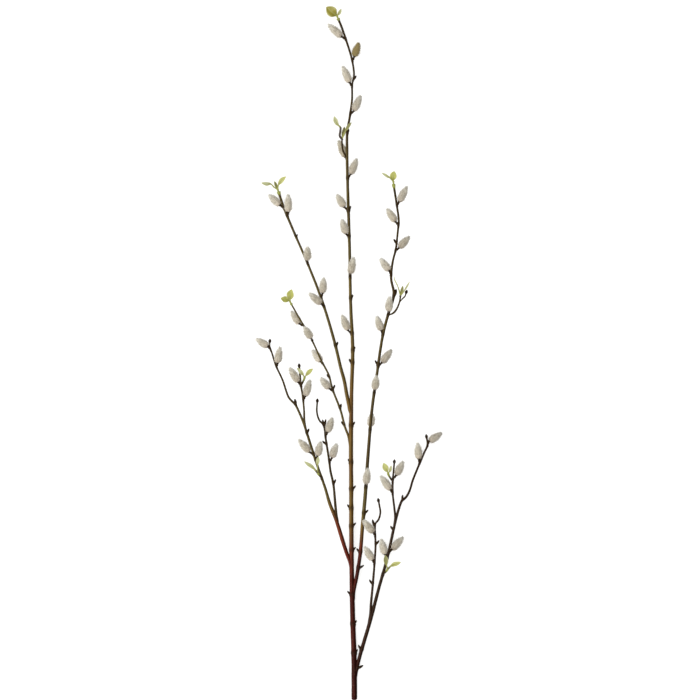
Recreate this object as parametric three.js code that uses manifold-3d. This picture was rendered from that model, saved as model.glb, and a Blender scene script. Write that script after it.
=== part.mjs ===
// A willow twig lying on a flat surface: a stem with side branches, buds, catkins on short stalks and young leaves.
// Millimetres, +Z up. +Y runs from the cut end to the tip, and the origin lies under the middle of the twig.
import * as THREE from "three";
import { mergeVertices } from "three/addons/utils/BufferGeometryUtils.js";
import Module from "manifold-3d";

const wasm = await Module();
wasm.setup();

// Driving dimensions. Places are pixels of the photograph (x to the right, y down) with a height in millimetres.
const TWIG_LENGTH = 1000;
const TWIG_PIXELS = 694;
const MM_PER_PIXEL = TWIG_LENGTH / TWIG_PIXELS;
const ORIGIN_PIXEL = { x: 349.1, y: 353.8 };
const SEAT_GAP = 0.3;
const WELD_DISTANCE = 1e-3;
const PATH_SAMPLES = 400;
const UP = new THREE.Vector3(0, 0, 1);

const BARK_SIDES = 6;
const BARK_STEP_DIAMETERS = 5;
const STALK_SIDES = 5;
const STALK_RADIUS = 1.1;
const CATKIN_STALK_REACH = 5;
const STALK_BEND = 2.6;
const CUP_RADIUS = 1.9;
const CUP_DEPTH = 1.6;
const CATKIN_SIDES = 8;
const CATKIN_RADIUS = 5.7;
const BUD_RADIUS = 1.6;
const BUD_REACH_BACK = 4.5;
const END_BUD_RADIUS = 1.8;
const END_BUD_LENGTH = 5;
const END_BUD_SEATED = 0.4;
const LEAF_SIDES = 4;
const LEAF_STEPS = 8;
const LEAF_THICKNESS = 0.9;
const LEAF_FULLNESS = 0.8;
const PETIOLE_RADIUS = 0.7;
const KNUCKLE_RADIUS = 1.3;
const KNUCKLE_LENGTH = 3.4;

// Each radius is a share of the body's widest, against the share of its length from the foot.
const CATKIN_PROFILE = [[0.28, 0], [0.74, 0.14], [1, 0.38], [0.82, 0.66], [0.36, 0.9]];
const BUD_PROFILE = [[0.9, 0], [1, 0.5], [0.55, 0.86]];
const END_BUD_PROFILE = [[0.5, 0], [1, 0.45], [0.7, 0.85]];
const KNUCKLE_PROFILE = [[0.8, 0], [1, 0.4], [0.6, 0.85]];

// The shoots of each piece of wood. A route's points are photo x, photo y and height above the surface.
// A thickness list is spread evenly from the shoot's foot to its tip.
const MAIN_STEM = {
  shoots: [
    {
      route: [
        [354.5, 700, 3.6],
        [354.3, 660, 3.7],
        [353, 615, 4.5],
        [352.4, 580, 6],
        [351.5, 536, 8],
        [351.2, 483, 10],
        [350.9, 440, 11],
        [351.6, 390, 12],
        [352.7, 350, 12],
        [350.9, 305, 12],
        [349.7, 246, 12],
        [347.8, 190, 12],
        [347, 150, 12.5],
        [347.4, 131, 12],
        [349.8, 117, 10.5],
        [352, 100, 9.5],
        [352.3, 84, 7.6],
        [354, 76, 7],
        [352.2, 61, 6.6],
        [347, 43, 6.45],
        [341.5, 27, 6.65],
        [338, 18.5, 7],
      ],
      thickness: [7.1, 7, 6.3, 5.3, 4.6, 4.2, 3.7, 3.3, 3, 2.2, 1.8],
    },
    {
      route: [
        [350.9, 446, 11],
        [348, 435, 11.4],
        [345.1, 427.4, 12],
        [340.5, 410, 14.5],
        [332.5, 389, 19],
        [328.8, 375, 22],
        [321.5, 360.8, 25],
        [311.9, 340, 28],
        [298.1, 316, 30],
        [291, 303.4, 30],
      ],
      thickness: [3.3, 2.9, 2.4, 1.9],
    },
    {
      route: [
        [347.1, 159, 12.4],
        [342.9, 150.5, 17],
        [341.9, 142, 18],
      ],
      thickness: [2.3, 2],
    },
  ],
  buds: [
    [356.2, 75.7],
    [348.7, 129.2],
    [350.8, 206],
    [352.9, 294.5],
    [355, 346.5],
    [349.1, 358.7],
    [355, 421.5],
    [348.1, 458.6],
    [355.8, 485.3],
    [347.2, 504.2],
    [355.9, 522.4],
    [355.7, 546.8],
    [347.2, 590.8],
    [356.7, 620],
    [357.7, 649],
    [341, 403.5],
    [341.3, 421.2],
    [327, 374],
    [334.8, 384.6],
  ],
};

const LEFT_UPPER = {
  shoots: [
    {
      route: [
        [351.4, 406, 12],
        [348.8, 398, 12.6],
        [344.3, 380, 13],
        [340.8, 368, 13],
        [335.9, 346.5, 13],
        [328, 317.4, 12.5],
        [320.3, 294.5, 12],
        [307.4, 262, 11],
        [295.1, 234, 8.4],
        [283.2, 206, 6.55],
        [278.5, 191.6, 6.6],
      ],
      thickness: [4.6, 4.2, 3.7, 3, 2.3],
    },
  ],
  buds: [
    [337.8, 341.6],
    [297.6, 234],
  ],
};

const LEFT_LOWER = {
  shoots: [
    {
      route: [
        [351.6, 566, 6.8],
        [345.9, 550, 9],
        [336, 518, 17],
        [330.2, 503.6, 21.6],
        [325, 487, 27],
        [317.7, 466, 34],
        [310.6, 444, 41],
        [303.9, 423, 46],
        [297.6, 407.5, 49],
        [291.9, 401.4, 50],
        [288.7, 396.3, 50],
        [282.9, 380, 50],
        [276, 365, 47],
        [272.2, 353, 43],
        [269.9, 346, 40.4],
        [270.1, 341.8, 39],
      ],
      thickness: [5.3, 4.6, 3.6, 2.9, 2.3, 1.9],
      endBud: true,
    },
    {
      route: [
        [304.6, 425, 45.5],
        [304.3, 411, 50],
        [303.1, 397.4, 54],
        [301.2, 385, 57],
        [300.3, 375, 58],
        [299.5, 366.4, 58],
      ],
      thickness: [2.6, 2.2, 1.9],
      endBud: true,
    },
    {
      route: [
        [336.4, 519, 16.8],
        [335.6, 506, 20],
        [333.4, 484, 23],
        [330.5, 470.6, 25],
        [329.3, 461, 26],
        [326, 440, 28],
        [323.4, 424.4, 29],
        [319.6, 420.4, 30],
        [317, 412, 32],
        [317.4, 401.4, 34],
      ],
      thickness: [2.9, 2.3, 1.9, 1.8],
      endBud: true,
    },
  ],
  buds: [
    [294.9, 398.6],
    [309.2, 428],
    [322.4, 419.4],
    [325.9, 418.8],
    [322.4, 440.4],
    [335.7, 478.8],
  ],
};

const RIGHT = {
  shoots: [
    {
      route: [
        [352.1, 592, 5.4],
        [357, 575, 8],
        [360.4, 552, 12],
        [362.4, 527, 16],
        [365, 498, 20],
        [367.2, 466, 25],
        [371.8, 410.6, 31],
        [376.7, 375, 35],
        [382.5, 336.5, 38],
        [388.2, 314, 40],
        [392.8, 300, 41],
        [393.6, 292.4, 41],
        [391, 279, 42],
        [392.6, 262, 42],
        [395.9, 249.5, 42],
        [398.2, 230.4, 41],
        [398.6, 221.5, 40],
        [396.7, 206, 39],
        [393.9, 188, 37],
        [393.4, 184.6, 36.5],
      ],
      thickness: [5.2, 5, 4.2, 3.7, 3.3, 3, 2.4, 1.9],
    },
    {
      route: [
        [387.8, 315.6, 39.8],
        [393.6, 312.8, 42],
        [397.4, 307.4, 44],
        [399.7, 300.6, 46],
        [400, 298.6, 46.5],
      ],
      thickness: [2.5, 1.9],
    },
    {
      route: [
        [398.9, 303.2, 45.2],
        [402.2, 299, 46],
        [404.8, 296.4, 46.6],
        [405.9, 293, 47],
      ],
      thickness: [1.7, 1.5],
      endBud: true,
    },
  ],
  buds: [
    [393.6, 239.2],
    [396, 289.2],
    [374.9, 360],
    [368.3, 509.4],
    [356.6, 548],
    [364, 564.8],
  ],
};

const RIGHT_LOWER = {
  shoots: [
    {
      route: [
        [354.5, 677, 3.7],
        [357, 667, 4],
        [360.2, 654.5, 4.8],
        [363.6, 643, 5.5],
        [370.2, 620.6, 7],
        [379.4, 586, 7.4],
        [385.6, 564, 7],
        [389.7, 547, 6.8],
        [394.3, 526, 7.4],
        [398.9, 508.3, 8.2],
        [402, 500.6, 8.4],
        [406, 497, 8.4],
        [409.4, 491, 8.4],
        [412.6, 480.6, 8],
        [416.8, 470, 7.6],
        [423.4, 454, 6.6],
        [427, 444, 6.2],
        [426.6, 437.8, 6.4],
      ],
      thickness: [5, 4.3, 3.4, 2.9, 2.3, 1.8],
      endBud: true,
    },
    {
      route: [
        [396.2, 520, 7.8],
        [394.3, 507, 12],
        [392.8, 495, 15],
        [392.8, 480, 18],
        [393.7, 468, 21],
        [394.2, 462.2, 22],
      ],
      thickness: [2.4, 2.1, 1.9],
      endBud: true,
    },
    {
      route: [
        [370.6, 619, 7],
        [371.4, 602, 11],
        [372.6, 586, 15],
        [374.7, 560, 19],
        [375.5, 545, 21],
        [374.8, 530, 22],
        [375.6, 524, 23],
        [379.2, 520, 24],
        [380.6, 511, 25],
        [378.6, 501.4, 26],
      ],
      thickness: [2.6, 2.2, 1.9],
      endBud: true,
    },
  ],
  buds: [
    [363.4, 665],
    [358.4, 644.6],
    [390.4, 525.6],
    [402.8, 494.6],
    [372.4, 519],
    [379, 539.8],
    [369.2, 579],
  ],
};

// The catkins of each shoot family. lift is the foot's height over the shoot it grows on, and rise is how much
// higher the tip lies than the foot, both in millimetres.
const CATKINS = {
  stem_catkin: {
    wood: MAIN_STEM,
    digits: 2,
    all: [
      { foot: [341.7, 36.7], tip: [327.9, 24.5], lift: 0, rise: -2 },
      { foot: [354.3, 56.6], tip: [358.9, 42.8], lift: 0, rise: 2 },
      { foot: [349.7, 82.6], tip: [342.5, 66.2], lift: 0, rise: -2 },
      { foot: [353.8, 110.9], tip: [360.8, 95.6], lift: 0, rise: 3 },
      { foot: [345.4, 157], tip: [338.6, 140.5], lift: -5.2, rise: -1 },
      { foot: [350.6, 174.2], tip: [357, 158.9], lift: 0, rise: 3 },
      { foot: [344.4, 207.1], tip: [336.7, 194.5], lift: 0, rise: 0 },
      { foot: [345.9, 233.7], tip: [341.8, 219.5], lift: 3, rise: 5 },
      { foot: [350.5, 273.5], tip: [353.6, 257.4], lift: 5.2, rise: 8 },
      { foot: [348, 330], tip: [342, 315.1], lift: 1, rise: 3 },
    ],
  },
  left_upper_catkin: {
    wood: LEFT_UPPER,
    digits: 1,
    all: [
      { foot: [280, 205.1], tip: [268.7, 194.8], lift: 0, rise: -2 },
      { foot: [288.3, 212], tip: [288.2, 194.4], lift: 1.5, rise: 3 },
      { foot: [307.4, 260.2], tip: [307.6, 246.8], lift: 5, rise: 9 },
      { foot: [322.6, 293], tip: [323.8, 277.7], lift: 1.5, rise: 3 },
      { foot: [321.1, 303.7], tip: [309.2, 293.3], lift: 4, rise: 6 },
    ],
  },
  left_middle_catkin: {
    wood: MAIN_STEM,
    digits: 1,
    all: [
      { foot: [299.7, 323.6], tip: [291.3, 311.3], lift: -3, rise: -6 },
      { foot: [311.2, 338.1], tip: [304.3, 326.6], lift: 5, rise: 8 },
      { foot: [321, 361.4], tip: [312.3, 350], lift: -5, rise: -8 },
      { foot: [329.3, 388.2], tip: [320.6, 377.9], lift: 1.2, rise: 3 },
    ],
  },
  left_lower_catkin: {
    wood: LEFT_LOWER,
    digits: 1,
    all: [
      { foot: [268.2, 346.6], tip: [256.4, 338.7], lift: 0, rise: -3 },
      { foot: [277.8, 362.9], tip: [280.4, 346.8], lift: 0, rise: 2 },
      { foot: [298.6, 381.7], tip: [289.7, 367.5], lift: 0, rise: 3 },
      { foot: [305.2, 395.9], tip: [310.4, 379.8], lift: 0, rise: 0 },
      { foot: [309.6, 451.5], tip: [298.6, 439], lift: 0, rise: 2 },
      { foot: [317.5, 455.4], tip: [320.9, 441.2], lift: 0, rise: 3 },
      { foot: [327.3, 432], tip: [332.5, 417.5], lift: 0, rise: 0 },
      { foot: [332, 457.3], tip: [336.6, 443.5], lift: 0, rise: 2 },
    ],
  },
  right_catkin: {
    wood: RIGHT,
    digits: 2,
    all: [
      { foot: [399, 202.1], tip: [407, 186.8], lift: 0, rise: 2 },
      { foot: [395.4, 222], tip: [386.7, 209], lift: 0, rise: -3 },
      { foot: [399, 248], tip: [409.3, 236.9], lift: 0, rise: 3 },
      { foot: [389, 270.9], tip: [380.2, 258.7], lift: 0, rise: 0 },
      { foot: [388.6, 311.3], tip: [389.4, 296.7], lift: 5.2, rise: 7 },
      { foot: [381.2, 330.4], tip: [376.5, 316.2], lift: 0, rise: 2 },
      { foot: [381.9, 362.5], tip: [391.6, 349.5], lift: 0, rise: -2 },
      { foot: [374.8, 389.2], tip: [376.5, 375.5], lift: 5.2, rise: 8 },
      { foot: [370.6, 425.9], tip: [371.8, 412.9], lift: -5.2, rise: -8 },
      { foot: [366, 483.3], tip: [367.9, 468], lift: 5.6, rise: 9.5 },
    ],
  },
  right_lower_catkin: {
    wood: RIGHT_LOWER,
    digits: 1,
    all: [
      { foot: [429.4, 441.2], tip: [441.8, 432.8], lift: 0, rise: -1 },
      { foot: [418.8, 458.8], tip: [417.6, 442.7], lift: 0, rise: 2 },
      { foot: [396.2, 474.9], tip: [403.3, 461.1], lift: 0, rise: 2 },
      { foot: [390.4, 489.4], tip: [380.6, 475.6], lift: 0, rise: 0 },
      { foot: [373.2, 532], tip: [363.3, 519.8], lift: 2, rise: 4 },
      { foot: [372.6, 559.6], tip: [364.5, 546.2], lift: 0, rise: 3 },
      { foot: [385.1, 554.2], tip: [380.9, 538.9], lift: 0, rise: 0 },
      { foot: [392, 549.2], tip: [403.3, 537], lift: 0, rise: -2 },
    ],
  },
};

// The leaf sprigs. reach is how far down the shoot a sprig's stalk starts. A leaf's via points are photo x, photo y
// and height over the sprig's foot, the last one being its tip. petiole is the share of its length that is only
// stalk, and turn is how far the blade is rolled about its length, in degrees.
const SPRIGS = {
  stem_tip_leaves: {
    wood: MAIN_STEM,
    foot: [337.4, 17],
    aim: [334, 9],
    lift: 0,
    reach: 5,
    leaves: [
      { via: [[332.6, 12.2, 3], [326.8, 8.6, 4]], width: 11, petiole: 0.1, turn: 8 },
      { via: [[339.2, 13.4, 2], [341, 9.3, 6]], width: 4, petiole: 0.2, turn: 55 },
    ],
  },
  stem_side_leaves: {
    wood: MAIN_STEM,
    foot: [342, 140.6],
    aim: [342.6, 133],
    lift: 0.3,
    reach: 5,
    leaves: [
      {
        via: [[339.8, 136.4, 1], [340.3, 131.8, 2], [340.5, 128, 3], [337.2, 124.4, 4], [334, 116.6, 4]],
        width: 5.4,
        petiole: 0.58,
        turn: 12,
      },
      { via: [[343.4, 133.6, 2], [344.5, 127, 3]], width: 4.6, petiole: 0.1, turn: 20 },
      { via: [[344.8, 133, 4], [348, 127.2, 7], [351.5, 122.9, 8]], width: 3.4, petiole: 0.45, turn: -35 },
    ],
  },
  left_upper_leaves: {
    wood: LEFT_UPPER,
    foot: [278, 190.4],
    aim: [275.6, 183],
    lift: 0.3,
    reach: 5,
    leaves: [
      {
        via: [[274.2, 187.4, 1], [271, 184.3, 3], [266.4, 184.3, 4], [261.3, 183, 3]],
        width: 4,
        petiole: 0.42,
        turn: 25,
      },
      { via: [[276.2, 186, 1.5], [274.4, 181.4, 4]], width: 3.6, petiole: 0.05, turn: 30 },
      { via: [[278.5, 185.2, 2], [281.6, 180.6, 4], [286, 176.6, 6]], width: 5.6, petiole: 0.25, turn: -15 },
    ],
  },
  left_middle_leaves: {
    wood: MAIN_STEM,
    foot: [290.4, 302.2],
    aim: [288, 296],
    lift: 0.3,
    reach: 5,
    leaves: [
      { via: [[285.8, 299.6, 2], [281, 298.4, 4]], width: 7.4, petiole: 0.08, turn: 12 },
      { via: [[290.4, 296, 2], [291.8, 289.6, 5]], width: 8.6, petiole: 0.08, turn: -12 },
    ],
  },
  left_lower_fork_leaves: {
    wood: LEFT_LOWER,
    foot: [304.6, 378.2],
    aim: [306.6, 371],
    lift: 3,
    reach: 10,
    leaves: [
      { via: [[308.6, 372.6, 2], [313.2, 368.5, 4]], width: 6.4, petiole: 0.12, turn: -12 },
      { via: [[301.4, 372, 4.5], [297.2, 367.6, 6]], width: 5.4, petiole: 0.15, turn: 15 },
    ],
  },
  left_lower_arm_leaves: {
    wood: LEFT_LOWER,
    foot: [318.4, 473.6],
    aim: [314.6, 468],
    lift: 3.4,
    reach: 7,
    leaves: [
      { via: [[312.6, 466.7, 2], [304.2, 461, 4]], width: 4.6, petiole: 0.3, turn: 20 },
      { via: [[317.6, 463.6, 4.5], [318.6, 456, 9]], width: 5.4, petiole: 0.45, turn: -8 },
    ],
  },
  right_tip_leaves: {
    wood: RIGHT,
    foot: [393.3, 183.2],
    aim: [392.8, 175],
    lift: 0.3,
    reach: 5,
    leaves: [
      { via: [[393, 178, 2], [394.2, 171.8, 4]], width: 9, petiole: 0.08, turn: -8 },
      { via: [[389.4, 178.4, 3], [381.6, 173.4, 4]], width: 3.6, petiole: 0.3, turn: 30 },
    ],
  },
  right_side_leaves: {
    wood: RIGHT,
    foot: [400.1, 297.2],
    aim: [400.8, 289],
    lift: 0.6,
    reach: 5,
    leaves: [
      {
        via: [[398.7, 290, 3], [396.6, 284.4, 5], [394.4, 280, 5], [393.8, 275.6, 4]],
        width: 2.6,
        petiole: 0.3,
        turn: 25,
      },
      { via: [[401.5, 291.6, 1], [402.6, 286, 3]], width: 3.6, petiole: 0.05, turn: -15 },
      { via: [[403.6, 291.6, 3], [409.6, 281.6, 6]], width: 2.8, petiole: 0.3, turn: -35 },
    ],
  },
  right_lower_fork_leaves: {
    wood: RIGHT_LOWER,
    foot: [388.2, 474],
    aim: [386.6, 468],
    lift: 2,
    reach: 10,
    leaves: [
      { via: [[386.2, 469, 2], [383.7, 463.2, 4]], width: 7.2, petiole: 0.1, turn: 12 },
      { via: [[390, 470.4, 3], [391, 466.3, 5]], width: 3.8, petiole: 0.15, turn: -20 },
    ],
  },
  right_lower_arm_leaves: {
    wood: RIGHT_LOWER,
    foot: [387, 570],
    aim: [389.6, 565],
    lift: 4,
    reach: 7,
    leaves: [
      { via: [[386.3, 564.2, 4.5], [385.3, 554.6, 8]], width: 7, petiole: 0.3, turn: 8 },
      { via: [[391.6, 565.4, 2], [400.8, 562, 4]], width: 6.4, petiole: 0.25, turn: -15 },
    ],
  },
};

function barkFinish() {
  return new THREE.MeshStandardMaterial({ color: 0x4a2f1e, roughness: 0.5, metalness: 0 });
}

function catkinFinish() {
  return new THREE.MeshStandardMaterial({ color: 0xc4bbae, roughness: 0.95, metalness: 0 });
}

function leafFinish() {
  return new THREE.MeshStandardMaterial({ color: 0xb9c25f, roughness: 0.6, metalness: 0 });
}

// The spot over a pixel of the photograph, at a height over the surface.
function spot([x, y], height) {
  return new THREE.Vector3(
    (x - ORIGIN_PIXEL.x) * MM_PER_PIXEL,
    (ORIGIN_PIXEL.y - y) * MM_PER_PIXEL,
    height,
  );
}

function shootPath(shoot) {
  return new THREE.CatmullRomCurve3(shoot.route.map(([x, y, height]) => spot([x, y], height)));
}

// A value read between the entries of an evenly spread list, at a share from 0 to 1.
function spreadValue(list, share) {
  const place = THREE.MathUtils.clamp(share, 0, 1) * (list.length - 1);
  const before = Math.min(Math.floor(place), list.length - 2);
  return THREE.MathUtils.lerp(list[before], list[before + 1], place - before);
}

// Lays a body that was turned about Y along a path, rolled about it by an angle.
function bendAlong(geometry, path, roll = 0) {
  const length = path.getLength();
  const places = geometry.attributes.position;
  const vertex = new THREE.Vector3();
  const aside = new THREE.Vector3();
  const over = new THREE.Vector3();
  for (let i = 0; i < places.count; i += 1) {
    vertex.fromBufferAttribute(places, i);
    const share = THREE.MathUtils.clamp(vertex.y / length, 0, 1);
    const ahead = path.getTangentAt(share);
    aside.crossVectors(ahead, UP).normalize().applyAxisAngle(ahead, roll);
    over.crossVectors(aside, ahead);
    const bent = path.getPointAt(share);
    bent.addScaledVector(aside, vertex.x).addScaledVector(over, vertex.z);
    places.setXYZ(i, bent.x, bent.y, bent.z);
  }
  return geometry;
}

// A turned body along a path. The profile is radius against distance along the path, without the axis points.
function turnedAlong(path, profile, sides) {
  const length = path.getLength();
  const points = profile.map(([radius, distance]) => new THREE.Vector2(radius, distance));
  const foot = new THREE.Vector2(0, profile[0][1]);
  const end = new THREE.Vector2(0, length);
  return bendAlong(new THREE.LatheGeometry([foot, ...points, end], sides), path);
}

// A turned body on the straight line between two spots, from a profile of shares.
function turnedBetween(start, end, shares, widest, sides) {
  const path = new THREE.LineCurve3(start, end);
  const length = path.getLength();
  const profile = shares.map(([wide, along]) => [wide * widest, along * length]);
  return solidOf(turnedAlong(path, profile, sides));
}

function solidOf(geometry) {
  const bare = geometry.clone().deleteAttribute("normal").deleteAttribute("uv");
  const merged = mergeVertices(bare, WELD_DISTANCE);
  const vertProperties = merged.attributes.position.array;
  const triVerts = new Uint32Array(merged.index.array);
  return new wasm.Manifold(new wasm.Mesh({ numProp: 3, vertProperties, triVerts }));
}

function joined(solids) {
  return solids.reduce((all, next) => all.add(next));
}

function meshOf(name, solid, material) {
  const { vertProperties, triVerts } = solid.getMesh();
  const geometry = new THREE.BufferGeometry();
  geometry.setAttribute("position", new THREE.BufferAttribute(vertProperties, 3));
  geometry.setIndex(new THREE.BufferAttribute(triVerts, 1));
  geometry.computeVertexNormals();
  const mesh = new THREE.Mesh(geometry, material);
  mesh.name = name;
  return mesh;
}

// The bark of one shoot: a tapering tube along its route, thicker all round by extra.
function bark(shoot, extra = 0) {
  const path = shootPath(shoot);
  const length = path.getLength();
  const diameter = spreadValue(shoot.thickness, 0.5);
  const steps = Math.max(3, Math.round(length / (BARK_STEP_DIAMETERS * diameter)));
  const profile = [];
  for (let step = 0; step <= steps; step += 1) {
    const share = step / steps;
    profile.push([spreadValue(shoot.thickness, share) / 2 + extra, share * length]);
  }
  return solidOf(turnedAlong(path, profile, BARK_SIDES));
}

// The spot on a wood's shoots that lies nearest to a place in plan, and the one a little nearer the shoot's foot.
function nearestOn(wood, place, reachBack) {
  let best = { distance: Infinity };
  for (const shoot of wood.shoots) {
    const path = shootPath(shoot);
    for (let i = 0; i <= PATH_SAMPLES; i += 1) {
      const on = path.getPointAt(i / PATH_SAMPLES);
      const distance = Math.hypot(on.x - place.x, on.y - place.y);
      if (distance < best.distance) best = { distance, path, on, share: i / PATH_SAMPLES };
    }
  }
  const back = Math.max(0, best.share - reachBack / best.path.getLength());
  return { on: best.on, root: best.path.getPointAt(back) };
}

// A bud from the shoot's middle to its tip, which is a pixel of the photograph.
function bud(wood, tip) {
  const { on, root } = nearestOn(wood, spot(tip, 0), BUD_REACH_BACK);
  return turnedBetween(root, spot(tip, on.z), BUD_PROFILE, BUD_RADIUS, STALK_SIDES);
}

// The round bud that ends a thin twig.
function endBud(shoot) {
  const path = shootPath(shoot);
  const end = path.getPointAt(1);
  const ahead = path.getTangentAt(1);
  const start = end.clone().addScaledVector(ahead, -END_BUD_LENGTH * END_BUD_SEATED);
  const tip = start.clone().addScaledVector(ahead, END_BUD_LENGTH);
  return turnedBetween(start, tip, END_BUD_PROFILE, END_BUD_RADIUS, STALK_SIDES);
}

// Where something grows: its foot, the way it points, and the stalk's curve from the shoot to that foot.
function seat(wood, { foot: footPixel, aim, lift, rise, reach }) {
  const flat = spot(footPixel, 0);
  const { on, root } = nearestOn(wood, flat, reach);
  const foot = flat.setZ(on.z + lift);
  const axis = spot(aim, foot.z + rise).sub(foot).normalize();
  const corner = foot.clone().addScaledVector(axis, -STALK_BEND);
  return { foot, axis, stalk: new THREE.QuadraticBezierCurve3(root, corner, foot) };
}

function catkinSeat(wood, catkin) {
  return seat(wood, { ...catkin, aim: catkin.tip, reach: CATKIN_STALK_REACH });
}

function sprigSeat(sprig) {
  return seat(sprig.wood, { ...sprig, rise: sprig.lift });
}

// A catkin's stalk, widening to the cup that holds the catkin.
function catkinStalk({ stalk }) {
  const length = stalk.getLength();
  const profile = [
    [STALK_RADIUS, 0],
    [STALK_RADIUS, length - CUP_DEPTH],
    [CUP_RADIUS, length],
  ];
  return solidOf(turnedAlong(stalk, profile, STALK_SIDES));
}

function sprigStalk({ stalk }) {
  const profile = [
    [STALK_RADIUS, 0],
    [STALK_RADIUS, stalk.getLength()],
  ];
  return solidOf(turnedAlong(stalk, profile, STALK_SIDES));
}

function catkinBody(wood, catkin) {
  const { foot, axis } = catkinSeat(wood, catkin);
  const tip = spot(catkin.tip, foot.z + catkin.rise);
  const start = foot.clone().addScaledVector(axis, SEAT_GAP);
  return turnedBetween(start, tip, CATKIN_PROFILE, CATKIN_RADIUS, CATKIN_SIDES);
}

// How wide a leaf is, as a share of its widest: nothing along the petiole, then a belly that runs to a point.
function leafShare(along, petiole) {
  const onBlade = THREE.MathUtils.clamp((along - petiole) / (1 - petiole), 0, 1);
  return Math.sin(Math.PI * onBlade) ** LEAF_FULLNESS;
}

// One leaf: a flattened spindle from the sprig's knuckle over its via points.
function leafBlade(start, leaf, foot) {
  const through = leaf.via.map(([x, y, height]) => spot([x, y], foot.z + height));
  const path = new THREE.CatmullRomCurve3([start, ...through]);
  const length = path.getLength();
  const points = [new THREE.Vector2(0, 0)];
  for (let step = 0; step < LEAF_STEPS; step += 1) {
    const along = step / LEAF_STEPS;
    const radius = Math.max(PETIOLE_RADIUS, leafShare(along, leaf.petiole) * leaf.width / 2);
    points.push(new THREE.Vector2(radius, along * length));
  }
  points.push(new THREE.Vector2(0, length));
  const spindle = new THREE.LatheGeometry(points, LEAF_SIDES);
  const vertices = spindle.attributes.position;
  for (let i = 0; i < vertices.count; i += 1) {
    vertices.setZ(i, THREE.MathUtils.clamp(vertices.getZ(i), -LEAF_THICKNESS / 2, LEAF_THICKNESS / 2));
  }
  return solidOf(bendAlong(spindle, path, THREE.MathUtils.degToRad(leaf.turn)));
}

// A sprig: a knuckle on its stalk with the leaves growing out of it.
function sprigBody(sprig) {
  const { foot, axis } = sprigSeat(sprig);
  const start = foot.clone().addScaledVector(axis, SEAT_GAP);
  const end = start.clone().addScaledVector(axis, KNUCKLE_LENGTH);
  const knuckle = turnedBetween(start, end, KNUCKLE_PROFILE, KNUCKLE_RADIUS, LEAF_SIDES);
  const middle = start.clone().lerp(end, 0.5);
  return joined([knuckle, ...sprig.leaves.map((leaf) => leafBlade(middle, leaf, foot))]);
}

// The stalks that catkins and sprigs ask of one piece of wood.
function stalksOn(wood) {
  const stalks = [];
  for (const family of Object.values(CATKINS)) {
    if (family.wood !== wood) continue;
    stalks.push(...family.all.map((catkin) => catkinStalk(catkinSeat(wood, catkin))));
  }
  for (const sprig of Object.values(SPRIGS)) {
    if (sprig.wood === wood) stalks.push(sprigStalk(sprigSeat(sprig)));
  }
  return stalks;
}

function woodSolid(wood) {
  const tubes = wood.shoots.map((shoot) => bark(shoot));
  const ends = wood.shoots.filter((shoot) => shoot.endBud).map(endBud);
  const buds = wood.buds.map((tip) => bud(wood, tip));
  return joined([...tubes, ...ends, ...buds, ...stalksOn(wood)]);
}

// A side branch butts against the main stem: what would lie inside the stem, or within the seat's gap, is cut away.
function sideBranchSolid(wood) {
  const stemWithGap = bark(MAIN_STEM.shoots[0], SEAT_GAP);
  return woodSolid(wood).subtract(stemWithGap);
}

const twig = new THREE.Group();
twig.add(meshOf("main_stem", woodSolid(MAIN_STEM), barkFinish()));
twig.add(meshOf("left_upper_branch", sideBranchSolid(LEFT_UPPER), barkFinish()));
twig.add(meshOf("left_lower_branch", sideBranchSolid(LEFT_LOWER), barkFinish()));
twig.add(meshOf("right_branch", sideBranchSolid(RIGHT), barkFinish()));
twig.add(meshOf("right_lower_branch", sideBranchSolid(RIGHT_LOWER), barkFinish()));

for (const [kind, family] of Object.entries(CATKINS)) {
  family.all.forEach((catkin, index) => {
    const name = `${kind}_${String(index + 1).padStart(family.digits, "0")}`;
    twig.add(meshOf(name, catkinBody(family.wood, catkin), catkinFinish()));
  });
}

for (const [name, sprig] of Object.entries(SPRIGS)) {
  twig.add(meshOf(name, sprigBody(sprig), leafFinish()));
}

export default twig;
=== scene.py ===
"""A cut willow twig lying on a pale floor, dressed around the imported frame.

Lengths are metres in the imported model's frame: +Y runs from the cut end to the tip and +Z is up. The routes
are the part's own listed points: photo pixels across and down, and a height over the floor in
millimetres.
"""

import bisect
import logging
import math
import random
from dataclasses import dataclass
from enum import Enum
from typing import Callable, Iterable, NamedTuple, Sequence

import bmesh
import bpy
from mathutils import Matrix, Vector, noise
from mathutils.geometry import interpolate_bezier


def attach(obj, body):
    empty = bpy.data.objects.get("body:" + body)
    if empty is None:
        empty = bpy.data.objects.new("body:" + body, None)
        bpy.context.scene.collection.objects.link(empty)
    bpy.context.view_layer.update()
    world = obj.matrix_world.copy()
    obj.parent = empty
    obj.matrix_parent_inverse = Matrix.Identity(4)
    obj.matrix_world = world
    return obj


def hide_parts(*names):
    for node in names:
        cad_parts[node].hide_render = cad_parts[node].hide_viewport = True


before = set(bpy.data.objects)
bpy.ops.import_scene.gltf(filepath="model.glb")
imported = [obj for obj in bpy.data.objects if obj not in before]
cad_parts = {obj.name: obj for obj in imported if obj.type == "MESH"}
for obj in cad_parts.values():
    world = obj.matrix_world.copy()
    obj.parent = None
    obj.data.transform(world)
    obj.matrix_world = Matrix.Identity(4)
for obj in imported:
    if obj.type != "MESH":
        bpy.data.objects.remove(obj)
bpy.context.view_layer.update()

LOG = logging.getLogger("willow_twig")
ROOT_BODY = "root"

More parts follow.
